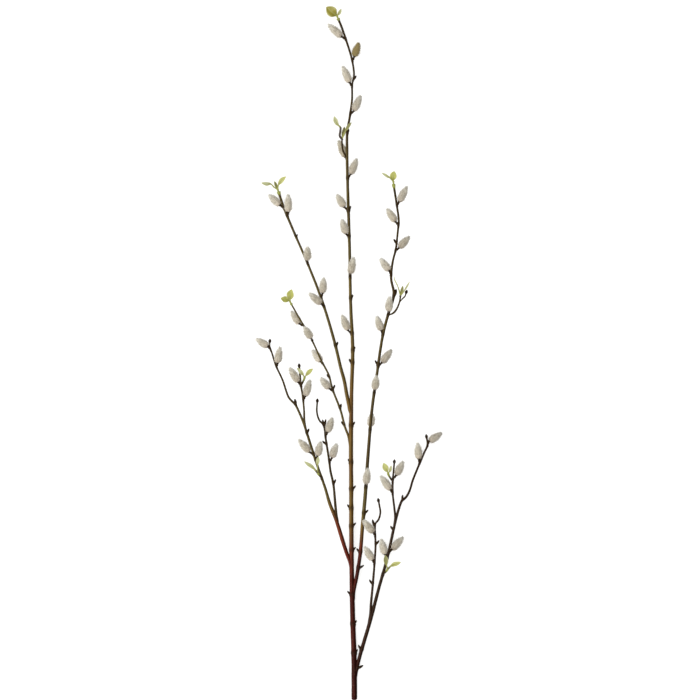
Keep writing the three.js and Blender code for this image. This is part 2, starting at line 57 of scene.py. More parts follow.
MM = 0.001
TWIG_LENGTH = 1.0
TWIG_PIXELS = 694
METRES_PER_PIXEL = TWIG_LENGTH / TWIG_PIXELS
PHOTO_PIXELS = 700
ORIGIN_PIXEL = (349.1, 353.8)
UP = Vector((0, 0, 1))
FLOOR_CLEARANCE = 0.03 * MM
SAME_PLACE = 0.001 * MM
SAME_PLACE_DIGITS = 6
SLANT_FADE = 8 * MM
ROOT_SHARE = 0.5
LEADER = "main_stem"
SHOOT_END_REACH = 2 * MM

PhotoSpot = tuple[float, float]
PhotoPoint = tuple[float, float, float]
Span = tuple[float, float]
Triple = tuple[float, float, float]
Colour = tuple[float, float, float, float]
RadiusAt = Callable[[float, float], float]
Socket = bpy.types.NodeSocket


class Slot(Enum):
    """The record's material slots."""

    BARK = "bark"
    CATKIN = "catkin"
    LEAF = "leaf"


class LeafTone(Enum):
    """How a young leaf is coloured, as a place on the leaf finish's ramp."""

    SHADED = 0.0
    OLIVE = 0.2
    MOSS = 0.4
    YELLOW_GREEN = 0.6
    PALE_GREEN = 0.8
    SILVER_GREEN = 1.0


def paint(red: int, green: int, blue: int) -> Colour:
    """Turns a colour as seen on a screen into the linear one that shaders use.

    Args:
        red: The red share, 0 to 255.
        green: The green share, 0 to 255.
        blue: The blue share, 0 to 255.

    Returns:
        The linear colour with full alpha.
    """
    def linear(value: int) -> float:
        """Undoes the screen's curve for one share."""
        share = value / 255
        return share / 12.92 if share <= 0.04045 else ((share + 0.055) / 1.055) ** 2.4

    return linear(red), linear(green), linear(blue), 1.0


def spot(x: float, y: float, height: float) -> Vector:
    """Finds the place over a photo pixel.

    Args:
        x: Pixels from the photo's left edge.
        y: Pixels from the photo's top edge.
        height: Height over the floor in millimetres.

    Returns:
        The place in metres.
    """
    across = (x - ORIGIN_PIXEL[0]) * METRES_PER_PIXEL
    along = (ORIGIN_PIXEL[1] - y) * METRES_PER_PIXEL
    return Vector((across, along, height * MM))


def spread(values: Sequence[float], share: float) -> float:
    """Reads between the entries of an evenly spread list.

    Args:
        values: The entries, from share 0 to share 1.
        share: Where to read.

    Returns:
        The value there.
    """
    place = min(max(share, 0.0), 1.0) * (len(values) - 1)
    before = min(int(place), len(values) - 2)
    return values[before] + (values[before + 1] - values[before]) * (place - before)


def eased(low: float, high: float, value: float) -> float:
    """Goes smoothly from 0 at low to 1 at high.

    Args:
        low: Where the rise starts.
        high: Where it ends.
        value: Where to read it.

    Returns:
        A share from 0 to 1.
    """
    share = min(max((value - low) / (high - low), 0.0), 1.0)
    return share * share * (3 - 2 * share)


def bell(offset: float, width: float) -> float:
    """Gives the height of a bell curve at an offset from its middle."""
    return math.exp(-((offset / width) ** 2))


class RouteFrame(NamedTuple):
    """A place on a route with the directions along it, to its side and over it."""

    place: Vector
    ahead: Vector
    aside: Vector
    over: Vector


class Route:
    """A smooth path through a few points, read by the distance from its start."""

    SAMPLES = 40
    LOOK_AHEAD = 0.4 * MM
    PULL = 2 / 3

    def __init__(self, places: Sequence[Vector]) -> None:
        """Measures a path.

        Args:
            places: Close points along the path.
        """
        self.places = list(places)
        self.distances = [0.0]
        for before, after in zip(self.places, self.places[1:]):
            self.distances.append(self.distances[-1] + (after - before).length)
        self.length = self.distances[-1]

    @classmethod
    def through(cls, points: Sequence[Vector]) -> "Route":
        """Runs an evenly bent curve through the points.

        Args:
            points: The points that the curve passes.

        Returns:
            The route.
        """
        first = points[0] * 2 - points[1]
        last = points[-1] * 2 - points[-2]
        held = [first, *points, last]
        places = [points[0]]
        for a, b, c, d in zip(held, held[1:], held[2:], held[3:]):
            near, mid, far = ((q - p).length ** 0.5 for p, q in ((a, b), (b, c), (c, d)))
            leave = ((b - a) / near - (c - a) / (near + mid) + (c - b) / mid) * mid
            arrive = ((c - b) / mid - (d - b) / (mid + far) + (d - c) / far) * mid
            places += interpolate_bezier(b, b + leave / 3, c - arrive / 3, c, cls.SAMPLES)[1:]
        return cls(places)

    @classmethod
    def bow(cls, start: Vector, corner: Vector, end: Vector, past: float = 0.0) -> "Route":
        """Bends once from start to end, pulled towards a corner.

        Args:
            start: Where the bow starts.
            corner: What it bends towards.
            end: Where it ends.
            past: How far it runs straight on.

        Returns:
            The route.
        """
        leave = start.lerp(corner, cls.PULL)
        arrive = end.lerp(corner, cls.PULL)
        places = interpolate_bezier(start, leave, arrive, end, cls.SAMPLES)
        if past > 0:
            places.append(end + (end - corner).normalized() * past)
        return cls(places)

    def at(self, distance: float) -> Vector:
        """Gives the place at a distance from the start.

        Args:
            distance: How far along the route.

        Returns:
            The place there.
        """
        index = min(max(bisect.bisect_right(self.distances, distance) - 1, 0), len(self.places) - 2)
        span = self.distances[index + 1] - self.distances[index]
        return self.places[index].lerp(self.places[index + 1], (distance - self.distances[index]) / span)

    def frame(self, distance: float) -> RouteFrame:
        """Gives the place and directions at a distance from the start.

        Args:
            distance: How far along the route.

        Returns:
            The frame there.
        """
        before = max(distance - self.LOOK_AHEAD, 0.0)
        after = min(distance + self.LOOK_AHEAD, self.length)
        ahead = (self.at(after) - self.at(before)).normalized()
        aside = UP.cross(ahead).normalized()
        return RouteFrame(self.at(distance), ahead, aside, ahead.cross(aside))

    def nearest(self, place: Vector) -> tuple[float, float]:
        """Finds where the route passes a place most closely, seen from above.

        Args:
            place: The place to look from.

        Returns:
            How far away it passes, and the distance along it.
        """
        found = ((at.xy - place.xy).length for at in self.places)
        return min(zip(found, self.distances))


class Placed(NamedTuple):
    """A vertex that was laid along a route, with where on it that is."""

    vert: bmesh.types.BMVert
    distance: float
    angle: float
    radius: float


def turned_along(
    bm: bmesh.types.BMesh, route: Route, radius: RadiusAt, sides: int, rings: int, slant: float = 0.0
) -> list[Placed]:
    """Adds a closed tube and lays it along a route.

    Args:
        bm: The mesh to add to.
        route: The route to follow.
        radius: The tube's radius at a distance and an angle.
        sides: Faces around the tube.
        rings: Faces along the tube.
        slant: How steeply the tube's foot is cut, as rise over width.

    Returns:
        The tube's vertices.
    """
    known = len(bm.verts)
    straight = Matrix.Translation((0, 0, 0.5))
    made = bmesh.ops.create_cone(
        bm, cap_ends=True, segments=sides, radius1=1, radius2=1, depth=1, matrix=straight
    )
    edges = {edge for vert in made["verts"] for edge in vert.link_edges}
    long_edges = [edge for edge in edges if abs(edge.verts[0].co.z - edge.verts[1].co.z) > 0.5]
    bmesh.ops.subdivide_edges(bm, edges=long_edges, cuts=rings - 1)
    bm.verts.ensure_lookup_table()
    placed = []
    for vert in bm.verts[known:]:
        angle = math.atan2(vert.co.y, vert.co.x)
        distance = vert.co.z * route.length
        wide = radius(distance, angle)
        here = route.frame(distance)
        sloped = slant * wide * (1 - math.sin(angle)) * bell(distance, SLANT_FADE)
        out = here.aside * math.cos(angle) + here.over * math.sin(angle)
        vert.co = here.place + out * wide + here.ahead * sloped
        placed.append(Placed(vert, distance, angle, wide))
    return placed


def rooted(distance: float, length: float) -> float:
    """Thins the start of a shoot or stalk, so that it stays hidden in what it grows from.

    Args:
        distance: How far from the start.
        length: How long the thinned start is.

    Returns:
        The share of the full radius.
    """
    return ROOT_SHARE + (1 - ROOT_SHARE) * eased(0.0, length, distance)


def keep_above_floor(verts: Iterable["bmesh.types.BMVert | bpy.types.MeshVertex"]) -> None:
    """Flattens what would reach into the floor against it."""
    for vert in verts:
        vert.co.z = max(vert.co.z, FLOOR_CLEARANCE)


def settle_faces(bm: bmesh.types.BMesh) -> None:
    """Sorts the faces by their corners, because spinning orders them another way on each run.

    Args:
        bm: The mesh.
    """
    bm.verts.index_update()
    settled = sorted(bm.faces, key=lambda face: sorted(vert.index for vert in face.verts))
    ranks = {face: rank for rank, face in enumerate(settled)}
    bm.faces.sort(key=ranks.get)


def mark_whole(mesh: bpy.types.Mesh, name: str, value: float) -> None:
    """Gives every vertex of a mesh the same value.

    Args:
        mesh: The mesh.
        name: The attribute's name.
        value: The value.
    """
    attribute = mesh.attributes.new(name, "FLOAT", "POINT")
    attribute.data.foreach_set("value", [value] * len(mesh.vertices))


def mesh_of(bm: bmesh.types.BMesh, name: str) -> bpy.types.Mesh:
    """Turns finished work into a mesh.

    Args:
        bm: The work, which is freed.
        name: The mesh's name.

    Returns:
        The mesh.
    """
    mesh = bpy.data.meshes.new(name)
    bm.to_mesh(mesh)
    bm.free()
    return mesh


def add_piece(mesh: bpy.types.Mesh, node: str) -> None:
    """Puts a finished mesh in the scene as the piece that stands for a CAD node.

    Args:
        mesh: The piece's mesh, with its name and its place.
        node: The CAD node it stands for.
    """
    piece = bpy.data.objects.new(mesh.name, mesh)
    bpy.context.scene.collection.objects.link(piece)
    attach(piece, ROOT_BODY)
    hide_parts(node)
    LOG.info("%s: %d faces", piece.name, len(mesh.polygons))


class ShaderTree:
    """A material's nodes around one Principled shader."""

    MIX_FIRST, MIX_SECOND, MIX_RESULT = 6, 7, 2
    MOST_OF_CLOUD = (0.3, 0.7)

    def __init__(self, name: str) -> None:
        """Starts a material.

        Args:
            name: The material's name.
        """
        self.material = bpy.data.materials.new(name)
        self.material.use_nodes = True
        self.nodes = self.material.node_tree.nodes
        self.shader = self.nodes["Principled BSDF"]

    def link(self, source: Socket, target: Socket) -> None:
        """Joins two sockets."""
        self.material.node_tree.links.new(source, target)

    def fill(self, target: Socket, value: "Socket | float | Sequence[float]") -> None:
        """Joins a socket to a target, or sets the target to a plain value.

        Args:
            target: The socket to fill.
            value: A socket, a number or a colour.
        """
        if isinstance(value, bpy.types.NodeSocket):
            self.link(value, target)
        else:
            target.default_value = value

    def attribute(self, name: str, output: str = "Fac") -> Socket:
        """Reads one of the mesh's own attributes.

        Args:
            name: The attribute's name.
            output: Which of the node's outputs to read.

        Returns:
            The attribute's value.
        """
        node = self.nodes.new("ShaderNodeAttribute")
        node.attribute_name = name
        return node.outputs[output]

    def object_place(self) -> Socket:
        """Reads the place on the object."""
        return self.nodes.new("ShaderNodeTexCoord").outputs["Object"]

    def vector_sum(
        self, operation: str, first: Socket, second: Triple | None = None, output: str = "Vector"
    ) -> Socket:
        """Works on a vector by one of Blender's named operations.

        Args:
            operation: The operation's name.
            first: The vector.
            second: A plain vector to work with, if the operation takes one.
            output: Which result to give.

        Returns:
            The result.
        """
        node = self.nodes.new("ShaderNodeVectorMath")
        node.operation = operation
        self.link(first, node.inputs[0])
        if second is not None:
            node.inputs[1].default_value = second
        return node.outputs[output]

    def stretched(self, vector: Socket, factors: Triple) -> Socket:
        """Scales a vector by a factor for each axis."""
        return self.vector_sum("MULTIPLY", vector, factors)

    def length(self, vector: Socket) -> Socket:
        """Measures a vector."""
        return self.vector_sum("LENGTH", vector, output="Value")

    def facing(self, vector: Socket, direction: Triple) -> Socket:
        """Tells how much a vector's first two axes point in a direction, from -1 to 1."""
        unit = self.vector_sum("NORMALIZE", self.stretched(vector, (1, 1, 0)))
        return self.vector_sum("DOT_PRODUCT", unit, direction, "Value")

    def cloud(self, vector: Socket, scale: float = 1.0, detail: float = 3.0, rough: float = 0.55) -> Socket:
        """Makes a soft random pattern.

        Args:
            vector: Where to read it.
            scale: Repeats to the unit.
            detail: How many finer layers it has.
            rough: How strong those are.

        Returns:
            A value from 0 to 1.
        """
        node = self.nodes.new("ShaderNodeTexNoise")
        self.link(vector, node.inputs["Vector"])
        for name, number in (("Scale", scale), ("Detail", detail), ("Roughness", rough)):
            node.inputs[name].default_value = number
        return node.outputs["Fac"]

    def cloud_between(self, cloud: Socket, low: float, high: float) -> Socket:
        """Moves the values that a soft random pattern mostly has onto a range."""
        return self.remap(cloud, *self.MOST_OF_CLOUD, low, high)

    def dots(self, vector: Socket) -> Socket:
        """Gives the distance to the nearest of many dots, scattered one to the unit.

        Args:
            vector: Where to read it.

        Returns:
            The distance.
        """
        node = self.nodes.new("ShaderNodeTexVoronoi")
        self.link(vector, node.inputs["Vector"])
        node.inputs["Scale"].default_value = 1.0
        return node.outputs["Distance"]

    def ramp(self, value: Socket, stops: Iterable[tuple[float, Colour]]) -> Socket:
        """Turns a value into a colour.

        Args:
            value: A value from 0 to 1.
            stops: Colours with their places.

        Returns:
            The colour.
        """
        node = self.nodes.new("ShaderNodeValToRGB")
        elements = node.color_ramp.elements
        listed = list(stops)
        while len(elements) < len(listed):
            elements.new(1.0)
        for element, (place, colour) in zip(elements, listed):
            element.position = place
            element.color = colour
        self.link(value, node.inputs["Fac"])
        return node.outputs["Color"]

    def blend(
        self, share: "Socket | float", first: "Socket | Colour", second: "Socket | Colour", kind: str = "MIX"
    ) -> Socket:
        """Mixes two colours.

        Args:
            share: How much of the second.
            first: The colour below.
            second: The colour on top.
            kind: Blender's name for the way of mixing.

        Returns:
            The mixed colour.
        """
        node = self.nodes.new("ShaderNodeMix")
        node.data_type = "RGBA"
        node.blend_type = kind
        self.fill(node.inputs["Factor"], share)
        self.fill(node.inputs[self.MIX_FIRST], first)
        self.fill(node.inputs[self.MIX_SECOND], second)
        return node.outputs[self.MIX_RESULT]

    def remap(self, value: Socket, low: float, high: float, to_low: float, to_high: float) -> Socket:
        """Moves a range of values onto another and stops at its ends.

        Args:
            value: The value.
            low: The range's start.
            high: Its end.
            to_low: What low becomes.
            to_high: What high becomes.

        Returns:
            The moved value.
        """
        node = self.nodes.new("ShaderNodeMapRange")
        self.link(value, node.inputs["Value"])
        for name, number in zip(("From Min", "From Max", "To Min", "To Max"), (low, high, to_low, to_high)):
            node.inputs[name].default_value = number
        return node.outputs["Result"]

    def sum_up(self, operation: str, first: "Socket | float", second: "Socket | float" = 0.0) -> Socket:
        """Joins two values by one of Blender's named operations.

        Args:
            operation: The operation's name.
            first: The first value.
            second: The second value, for operations that take one.

        Returns:
            The result.
        """
        node = self.nodes.new("ShaderNodeMath")
        node.operation = operation
        self.fill(node.inputs[0], first)
        self.fill(node.inputs[1], second)
        return node.outputs[0]

    def bump(self, height: Socket, depth: float) -> None:
        """Raises the surface by a height from 0 to 1.

        Args:
            height: The height.
            depth: What a height of 1 means, in metres.
        """
        node = self.nodes.new("ShaderNodeBump")
        node.inputs["Strength"].default_value = 1.0
        node.inputs["Distance"].default_value = depth
        self.link(height, node.inputs["Height"])
        self.link(node.outputs["Normal"], self.shader.inputs["Normal"])

    def wear(self, colour: Socket, roughness: "Socket | float") -> None:
        """Gives the shader its colour and roughness."""
        self.link(colour, self.shader.inputs["Base Color"])
        self.fill(self.shader.inputs["Roughness"], roughness)


@dataclass(frozen=True)
class BarkFinish:
    """Smooth willow bark: red brown at the cut end, golden and olive above, grey brown on the thin twigs,
    with a painted highlight on one side and painted shade on the others.
    """

    tones: tuple[tuple[float, Colour], ...] = (
        (0.0, paint(41, 30, 18)),
        (0.12, paint(35, 5, 3)),
        (0.25, paint(66, 20, 10)),
        (0.32, paint(84, 36, 18)),
        (0.38, paint(72, 43, 22)),
        (0.5, paint(85, 63, 25)),
        (0.65, paint(73, 63, 30)),
        (0.8, paint(52, 41, 20)),
        (1.0, paint(42, 32, 13)),
    )
    bud_brown: Colour = paint(32, 21, 12)
    stalk_green: Colour = paint(142, 147, 76)
    cork: Colour = paint(112, 84, 60)
    mirror: float = 0.06
    gloss_tint: Colour = (1.0, 0.7, 0.58, 1.0)
    streak_dark: Colour = (0.66, 0.64, 0.62, 1.0)
    streak_light: Colour = (1.28, 1.28, 1.26, 1.0)
    streak_grain: Triple = (1500, 1500, 55)
    streak_detail: float = 4.0
    streak_rough: float = 0.6
    streak_places: Span = (0.28, 0.72)
    patch_grain: Triple = (160, 160, 30)
    patch_detail: float = 2.0
    patch_drift: float = 0.04
    pore_grain: Triple = (420, 420, 190)
    pore_edge: Span = (0.08, 0.2)
    pore_share: float = 0.45
    # Painted light: a whitish painted highlight on the side of each stem that faces the upper left, and
    # painted shade around the rest.
    painted_light_side: Triple = (0.6, 0.8, 0.0)
    painted_highlight: Colour = (1.75, 1.85, 2.4, 1.0)
    painted_shade: Colour = (0.72, 0.72, 0.72, 1.0)
    painted_light_places: Span = (0.68, 0.97)
    worn_places: Span = (0.25, 0.75)
    roughness: Span = (0.24, 0.34)
    relief: float = 0.12 * MM

    def material(self) -> bpy.types.Material:
        """Makes the bark material.

        Returns:
            The material.
        """
        tree = ShaderTree("willow_bark")
        grain = tree.attribute("grain", "Vector")
        streak_place = tree.stretched(grain, self.streak_grain)
        streaks = tree.cloud(streak_place, detail=self.streak_detail, rough=self.streak_rough)
        patches = tree.cloud(tree.stretched(grain, self.patch_grain), detail=self.patch_detail)
        drift = tree.cloud_between(patches, -self.patch_drift, self.patch_drift)
        colour = tree.ramp(tree.sum_up("ADD", tree.attribute("tone"), drift), self.tones)
        stripe = tree.ramp(streaks, zip(self.streak_places, (self.streak_dark, self.streak_light)))
        colour = tree.blend(1.0, colour, stripe, "MULTIPLY")
        # Painted light: the upper left side of each stem is lightened as a painted highlight and the other
        # sides are darkened as painted shade.
        facing = tree.facing(grain, self.painted_light_side)
        sides = tree.ramp(facing, zip(self.painted_light_places, (self.painted_shade, self.painted_highlight)))
        colour = tree.blend(1.0, colour, sides, "MULTIPLY")
        dots = tree.dots(tree.stretched(grain, self.pore_grain))
        pores = tree.remap(dots, *self.pore_edge, self.pore_share, 0.0)
        colour = tree.blend(pores, colour, self.cork)
        colour = tree.blend(tree.attribute("green"), colour, self.stalk_green)
        colour = tree.blend(tree.attribute("dark"), colour, self.bud_brown)
        tree.wear(colour, tree.remap(streaks, *self.worn_places, *self.roughness))
        tree.shader.inputs["Specular IOR Level"].default_value = self.mirror
        tree.shader.inputs["Specular Tint"].default_value = self.gloss_tint
        tree.bump(tree.sum_up("ADD", streaks, pores), self.relief)
        return tree.material


@dataclass(frozen=True)
class CutWoodFinish:
    """The bare wood of the cut end: pale rings around a brown pith under a thin green rim."""

    pith: Colour = paint(140, 104, 66)
    wood: Colour = paint(214, 192, 150)
    rim: Colour = paint(132, 120, 70)
    millimetres: Triple = (1000, 1000, 0)
    rim_radius: float = 3.6
    pith_edge: Span = (0.1, 0.18)
    rim_edge: Span = (0.84, 0.93)
    ring_pace: float = 9.0
    ring_share: float = 0.35
    roughness: float = 0.8
    fibre_scale: float = 6.0
    relief: float = 0.1 * MM

    def material(self) -> bpy.types.Material:
        """Makes the cut wood material.

        Returns:
            The material.
        """
        tree = ShaderTree("cut_wood")
        flat = tree.stretched(tree.attribute("grain", "Vector"), self.millimetres)
        out = tree.length(flat)
        stops = zip((*self.pith_edge, *self.rim_edge), (self.pith, self.wood, self.wood, self.rim))
        colour = tree.ramp(tree.remap(out, 0.0, self.rim_radius, 0.0, 1.0), stops)
        wave = tree.sum_up("SINE", tree.sum_up("MULTIPLY", out, self.ring_pace))
        rings = tree.remap(wave, -1.0, 1.0, 0.0, self.ring_share)
        colour = tree.blend(rings, colour, self.pith)
        tree.wear(colour, self.roughness)
        tree.bump(tree.cloud(flat, self.fibre_scale), self.relief)
        return tree.material


@dataclass(frozen=True)
class FurFinish:
    """Silky catkin hair: grey beige at the roots, partly painted shade, and silver white at the ends, partly
    painted light through the hair tips.
    """

    # The dark roots are partly the hair's own colour and partly painted shade deep between the hairs; the
    # pale ends are partly the hair's own silver and partly painted light shining through the hair tips.
    roots_and_painted_shade: Colour = paint(137, 128, 110)
    lengths: Colour = paint(172, 164, 145)
    ends: Colour = paint(227, 223, 212)
    hair_places: Triple = (0.0, 0.35, 1.0)
    streak: Colour = paint(110, 98, 84)
    streak_grain: Triple = (900, 900, 240)
    streak_detail: float = 2.0
    streak_range: Span = (0.46, 0.7)
    streak_share: float = 0.7
    foot_blush: Colour = paint(216, 201, 184)
    blush_range: Span = (0.05, 0.35)
    blush_share: float = 0.45
    tip_grey: Colour = paint(222, 222, 213)
    tip_range: Span = (0.55, 1.0)
    tip_share: float = 0.6
    husk: Colour = paint(130, 114, 68)
    # Painted shade: a dull grey brown that darkens the catkins that lean to the right, where less light falls
    # on them.
    lean_painted_shade: Colour = paint(112, 102, 88)
    sheen: float = 0.35
    sheen_roughness: float = 0.5
    roughness: float = 0.8

    def material(self) -> bpy.types.Material:
        """Makes the fur material.

        Returns:
            The material.
        """
        tree = ShaderTree("catkin_fur")
        # Painted shade at the hair roots and painted light at the hair ends, over the hair's own colours.
        stops = zip(self.hair_places, (self.roots_and_painted_shade, self.lengths, self.ends))
        colour = tree.ramp(tree.attribute("hair"), stops)
        strand = tree.stretched(tree.attribute("strand", "Vector"), self.streak_grain)
        streaks = tree.cloud(strand, detail=self.streak_detail)
        rise = tree.attribute("rise")
        blush = tree.remap(rise, *self.blush_range, self.blush_share, 0.0)
        colour = tree.blend(blush, colour, self.foot_blush)
        grey = tree.remap(rise, *self.tip_range, 0.0, self.tip_share)
        colour = tree.blend(grey, colour, self.tip_grey)
        streaked = tree.remap(streaks, *self.streak_range, 0.0, self.streak_share)
        colour = tree.blend(streaked, colour, self.streak)
        colour = tree.blend(tree.attribute("tint"), colour, self.husk)
        # Painted shade on the catkins that lean to the right.
        colour = tree.blend(tree.attribute("lean_painted_shade"), colour, self.lean_painted_shade)
        tree.wear(colour, self.roughness)
        tree.shader.inputs["Sheen Weight"].default_value = self.sheen
        tree.shader.inputs["Sheen Roughness"].default_value = self.sheen_roughness
        return tree.material


@dataclass(frozen=True)
class LeafFinish:
    """Thin young leaves with a paler midrib and faint side veins."""

    tones: tuple[tuple[float, Colour], ...] = (
        (LeafTone.SHADED.value, paint(72, 64, 18)),
        (LeafTone.OLIVE.value, paint(136, 127, 20)),
        (LeafTone.MOSS.value, paint(108, 107, 54)),
        (LeafTone.YELLOW_GREEN.value, paint(154, 155, 66)),
        (LeafTone.PALE_GREEN.value, paint(168, 169, 94)),
        (LeafTone.SILVER_GREEN.value, paint(163, 165, 124)),
    )
    vein: Colour = paint(188, 188, 130)
    edge: Colour = paint(196, 193, 142)
    foot: Colour = paint(126, 124, 50)
    stalk: Colour = paint(138, 140, 64)
    twig_brown: Colour = paint(46, 28, 16)
    veins_along: float = 8.0
    veins_lean: float = 2.2
    side_vein_width: float = 0.3
    side_vein_share: float = 0.5
    midrib_edge: Span = (0.05, 0.16)
    midrib_share: float = 0.55
    vein_share: float = 0.7
    edge_from: float = 0.6
    edge_share: float = 0.6
    foot_run: float = 0.4
    foot_share: float = 0.7
    mottle_scale: float = 300.0
    tone_drift: float = 0.07
    roughness: Span = (0.4, 0.58)
    relief: float = 0.15 * MM

    def material(self) -> bpy.types.Material:
        """Makes the leaf material.

        Returns:
            The material.
        """
        tree = ShaderTree("young_leaf")
        split = tree.nodes.new("ShaderNodeSeparateXYZ")
        tree.link(tree.attribute("blade", "Vector"), split.inputs[0])
        across = tree.sum_up("ABSOLUTE", split.outputs["X"])
        along = split.outputs["Y"]
        mottle = tree.cloud(tree.object_place(), self.mottle_scale)
        drift = tree.cloud_between(mottle, -self.tone_drift, self.tone_drift)
        colour = tree.ramp(tree.sum_up("ADD", tree.attribute("tone"), drift), self.tones)
        near_edge = tree.remap(across, self.edge_from, 1.0, 0.0, self.edge_share)
        colour = tree.blend(near_edge, colour, self.edge)
        climb = tree.sum_up("MULTIPLY", along, self.veins_along)
        leaning = tree.sum_up("SUBTRACT", climb, tree.sum_up("MULTIPLY", across, self.veins_lean))
        wave = tree.sum_up("ABSOLUTE", tree.sum_up("SINE", tree.sum_up("MULTIPLY", leaning, math.pi)))
        side_veins = tree.remap(wave, 0.0, self.side_vein_width, self.side_vein_share, 0.0)
        midrib = tree.remap(across, *self.midrib_edge, self.midrib_share, 0.0)
        veins = tree.sum_up("MAXIMUM", side_veins, midrib)
        colour = tree.blend(tree.sum_up("MULTIPLY", veins, self.vein_share), colour, self.vein)
        near_foot = tree.remap(along, 0.0, self.foot_run, self.foot_share, 0.0)
        colour = tree.blend(near_foot, colour, self.foot)
        colour = tree.blend(tree.attribute("stalk"), colour, self.stalk)
        colour = tree.blend(tree.attribute("brown"), colour, self.twig_brown)
        tree.wear(colour, tree.cloud_between(mottle, *self.roughness))
        tree.bump(veins, self.relief)
        return tree.material


@dataclass(frozen=True)
class FloorFinish:
    """A plain, near white studio floor."""

    white: Colour = paint(250, 250, 249)
    shade: Colour = paint(246, 246, 245)
    shade_scale: float = 3.0
    roughness: float = 0.9
    mirror: float = 0.1

    def material(self) -> bpy.types.Material:
        """Makes the floor material.

        Returns:
            The material.
        """
        tree = ShaderTree("studio_floor")
        colour = tree.blend(tree.cloud(tree.object_place(), self.shade_scale), self.white, self.shade)
        tree.wear(colour, self.roughness)
        tree.shader.inputs["Specular IOR Level"].default_value = self.mirror
        return tree.material


@dataclass(frozen=True)
class Shoot:
    """One shoot: its route, its thickness and bark tone spread evenly along it, and what ends it."""

    route: tuple[PhotoPoint, ...]
    thickness: tuple[float, ...]
    tone: tuple[float, ...]
    end_bud: bool = False

    def path(self) -> Route:
        """Runs the shoot's route through its points."""
        return Route.through([spot(*point) for point in self.route])


class Seat(NamedTuple):
    """Where something grows on a shoot: its foot, the way it points, and where its stalk starts."""

    foot: Vector
    axis: Vector
    root: Vector


class Bud(NamedTuple):
    """A side bud: the photo pixel of its tip, and its size against the others."""

    x: float
    y: float
    size: float = 1.0


class Knot(NamedTuple):
    """A thickened place on a shoot, with the side that something grows from."""

    distance: float
    angle: float


@dataclass(frozen=True)
class Leaf:
    """One young leaf: the points it passes with their heights over the sprig's foot, and its blade."""

    via: tuple[PhotoPoint, ...]
    width: float
    petiole: float
    turn: float
    tone: LeafTone = LeafTone.YELLOW_GREEN
    fullness: float = 0.8
    woody: float = 0.0


@dataclass(frozen=True)
class Sprig:
    """A leaf sprig: its foot, what it points at, its leaves, and how far green runs down the twig."""

    node: str
    foot: PhotoSpot
    aim: PhotoSpot
    lift: float
    reach: float
    leaves: tuple[Leaf, ...]
    green_run: float = 4.0


@dataclass(frozen=True)
class Wood:
    """A piece of wood with its shoots, buds, catkin stalks and sprig stalks."""

    node: str
    shoots: tuple[Shoot, ...]
    buds: tuple[Bud, ...]
    catkins: tuple[str, ...]
    sprigs: tuple[Sprig, ...] = ()

    def hold(self, place: Vector, reach: float) -> tuple[int, float, float]:
        """Finds where the wood's shoots pass a place most closely, seen from above.

        Args:
            place: The place to look from.
            reach: How far down the shoot a stalk to that place starts.

        Returns:
            The shoot's index, the distance along it, and the distance where the stalk starts.
        """
        paths = [shoot.path() for shoot in self.shoots]
        _, distance, index = min((*path.nearest(place), index) for index, path in enumerate(paths))
        return index, distance, max(distance - reach, 0.0)

    def green_run(self, index: int) -> float:
        """Tells how far green runs down a shoot from a leaf sprig on its end.

        Args:
            index: The shoot's index.

        Returns:
            The length in metres, 0 for a shoot that stays brown.
        """
        length = self.shoots[index].path().length
        for sprig in self.sprigs:
            on, distance, _ = self.hold(spot(*sprig.foot, 0.0), 0.0)
            if on == index and distance > length - SHOOT_END_REACH:
                return sprig.green_run * MM
        return 0.0

    def catkin_nodes(self) -> list[str]:
        """Lists the CAD nodes of the catkins that grow on this wood."""
        return [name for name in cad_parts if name.rsplit("_", 1)[0] in self.catkins]

    def sprig_seat(self, sprig: Sprig) -> Seat:
        """Finds where a sprig grows.

        Args:
            sprig: The sprig.

        Returns:
            Its seat.
        """
        flat = spot(*sprig.foot, 0.0)
        index, distance, start = self.hold(flat, sprig.reach * MM)
        path = self.shoots[index].path()
        height = path.at(distance).z / MM + sprig.lift
        foot = spot(*sprig.foot, height)
        axis = (spot(*sprig.aim, height + sprig.lift) - foot).normalized()
        return Seat(foot, axis, path.at(start))


@dataclass(frozen=True)
class SideBud:
    """The shape of a small side bud: a swollen foot, a scale's lip and a blunt tip."""

    radius: float = 1.75 * MM
    reach: float = 6.5 * MM
    corner: float = 0.55
    bulge: float = 0.8 * MM
    foot: float = 0.55
    belly: float = 0.45
    belly_rise: Span = (0.0, 0.35)
    taper: float = 0.3
    taper_run: Span = (0.4, 0.9)
    point: float = 0.85
    point_run: Span = (0.84, 1.02)
    lip: float = 0.1
    lip_place: float = 0.66
    lip_width: float = 0.06
    sides: int = 10
    rings: int = 18
    tone: float = 0.85
    foot_dark: float = 0.35
    tip_dark: float = 0.6
    dark_run: Span = (0.25, 0.7)
    knot_ahead: float = 2 * MM

    def width(self, share: float, angle: float) -> float:
        """Gives the bud's radius.

        Args:
            share: How far along the bud, from 0 to 1.
            angle: Where around it.

        Returns:
            The radius in metres.
        """
        lip = self.lip * bell(share - self.lip_place, self.lip_width) * (1 + math.cos(2 * angle)) / 2
        full = self.foot + self.belly * eased(*self.belly_rise, share)
        full -= self.taper * eased(*self.taper_run, share)
        return self.radius * (full + lip) * (1 - self.point * eased(*self.point_run, share))

    def dark(self, share: float) -> float:
        """Tells how dark the bud is at a share of its length."""
        return self.foot_dark + self.tip_dark * eased(*self.dark_run, share)


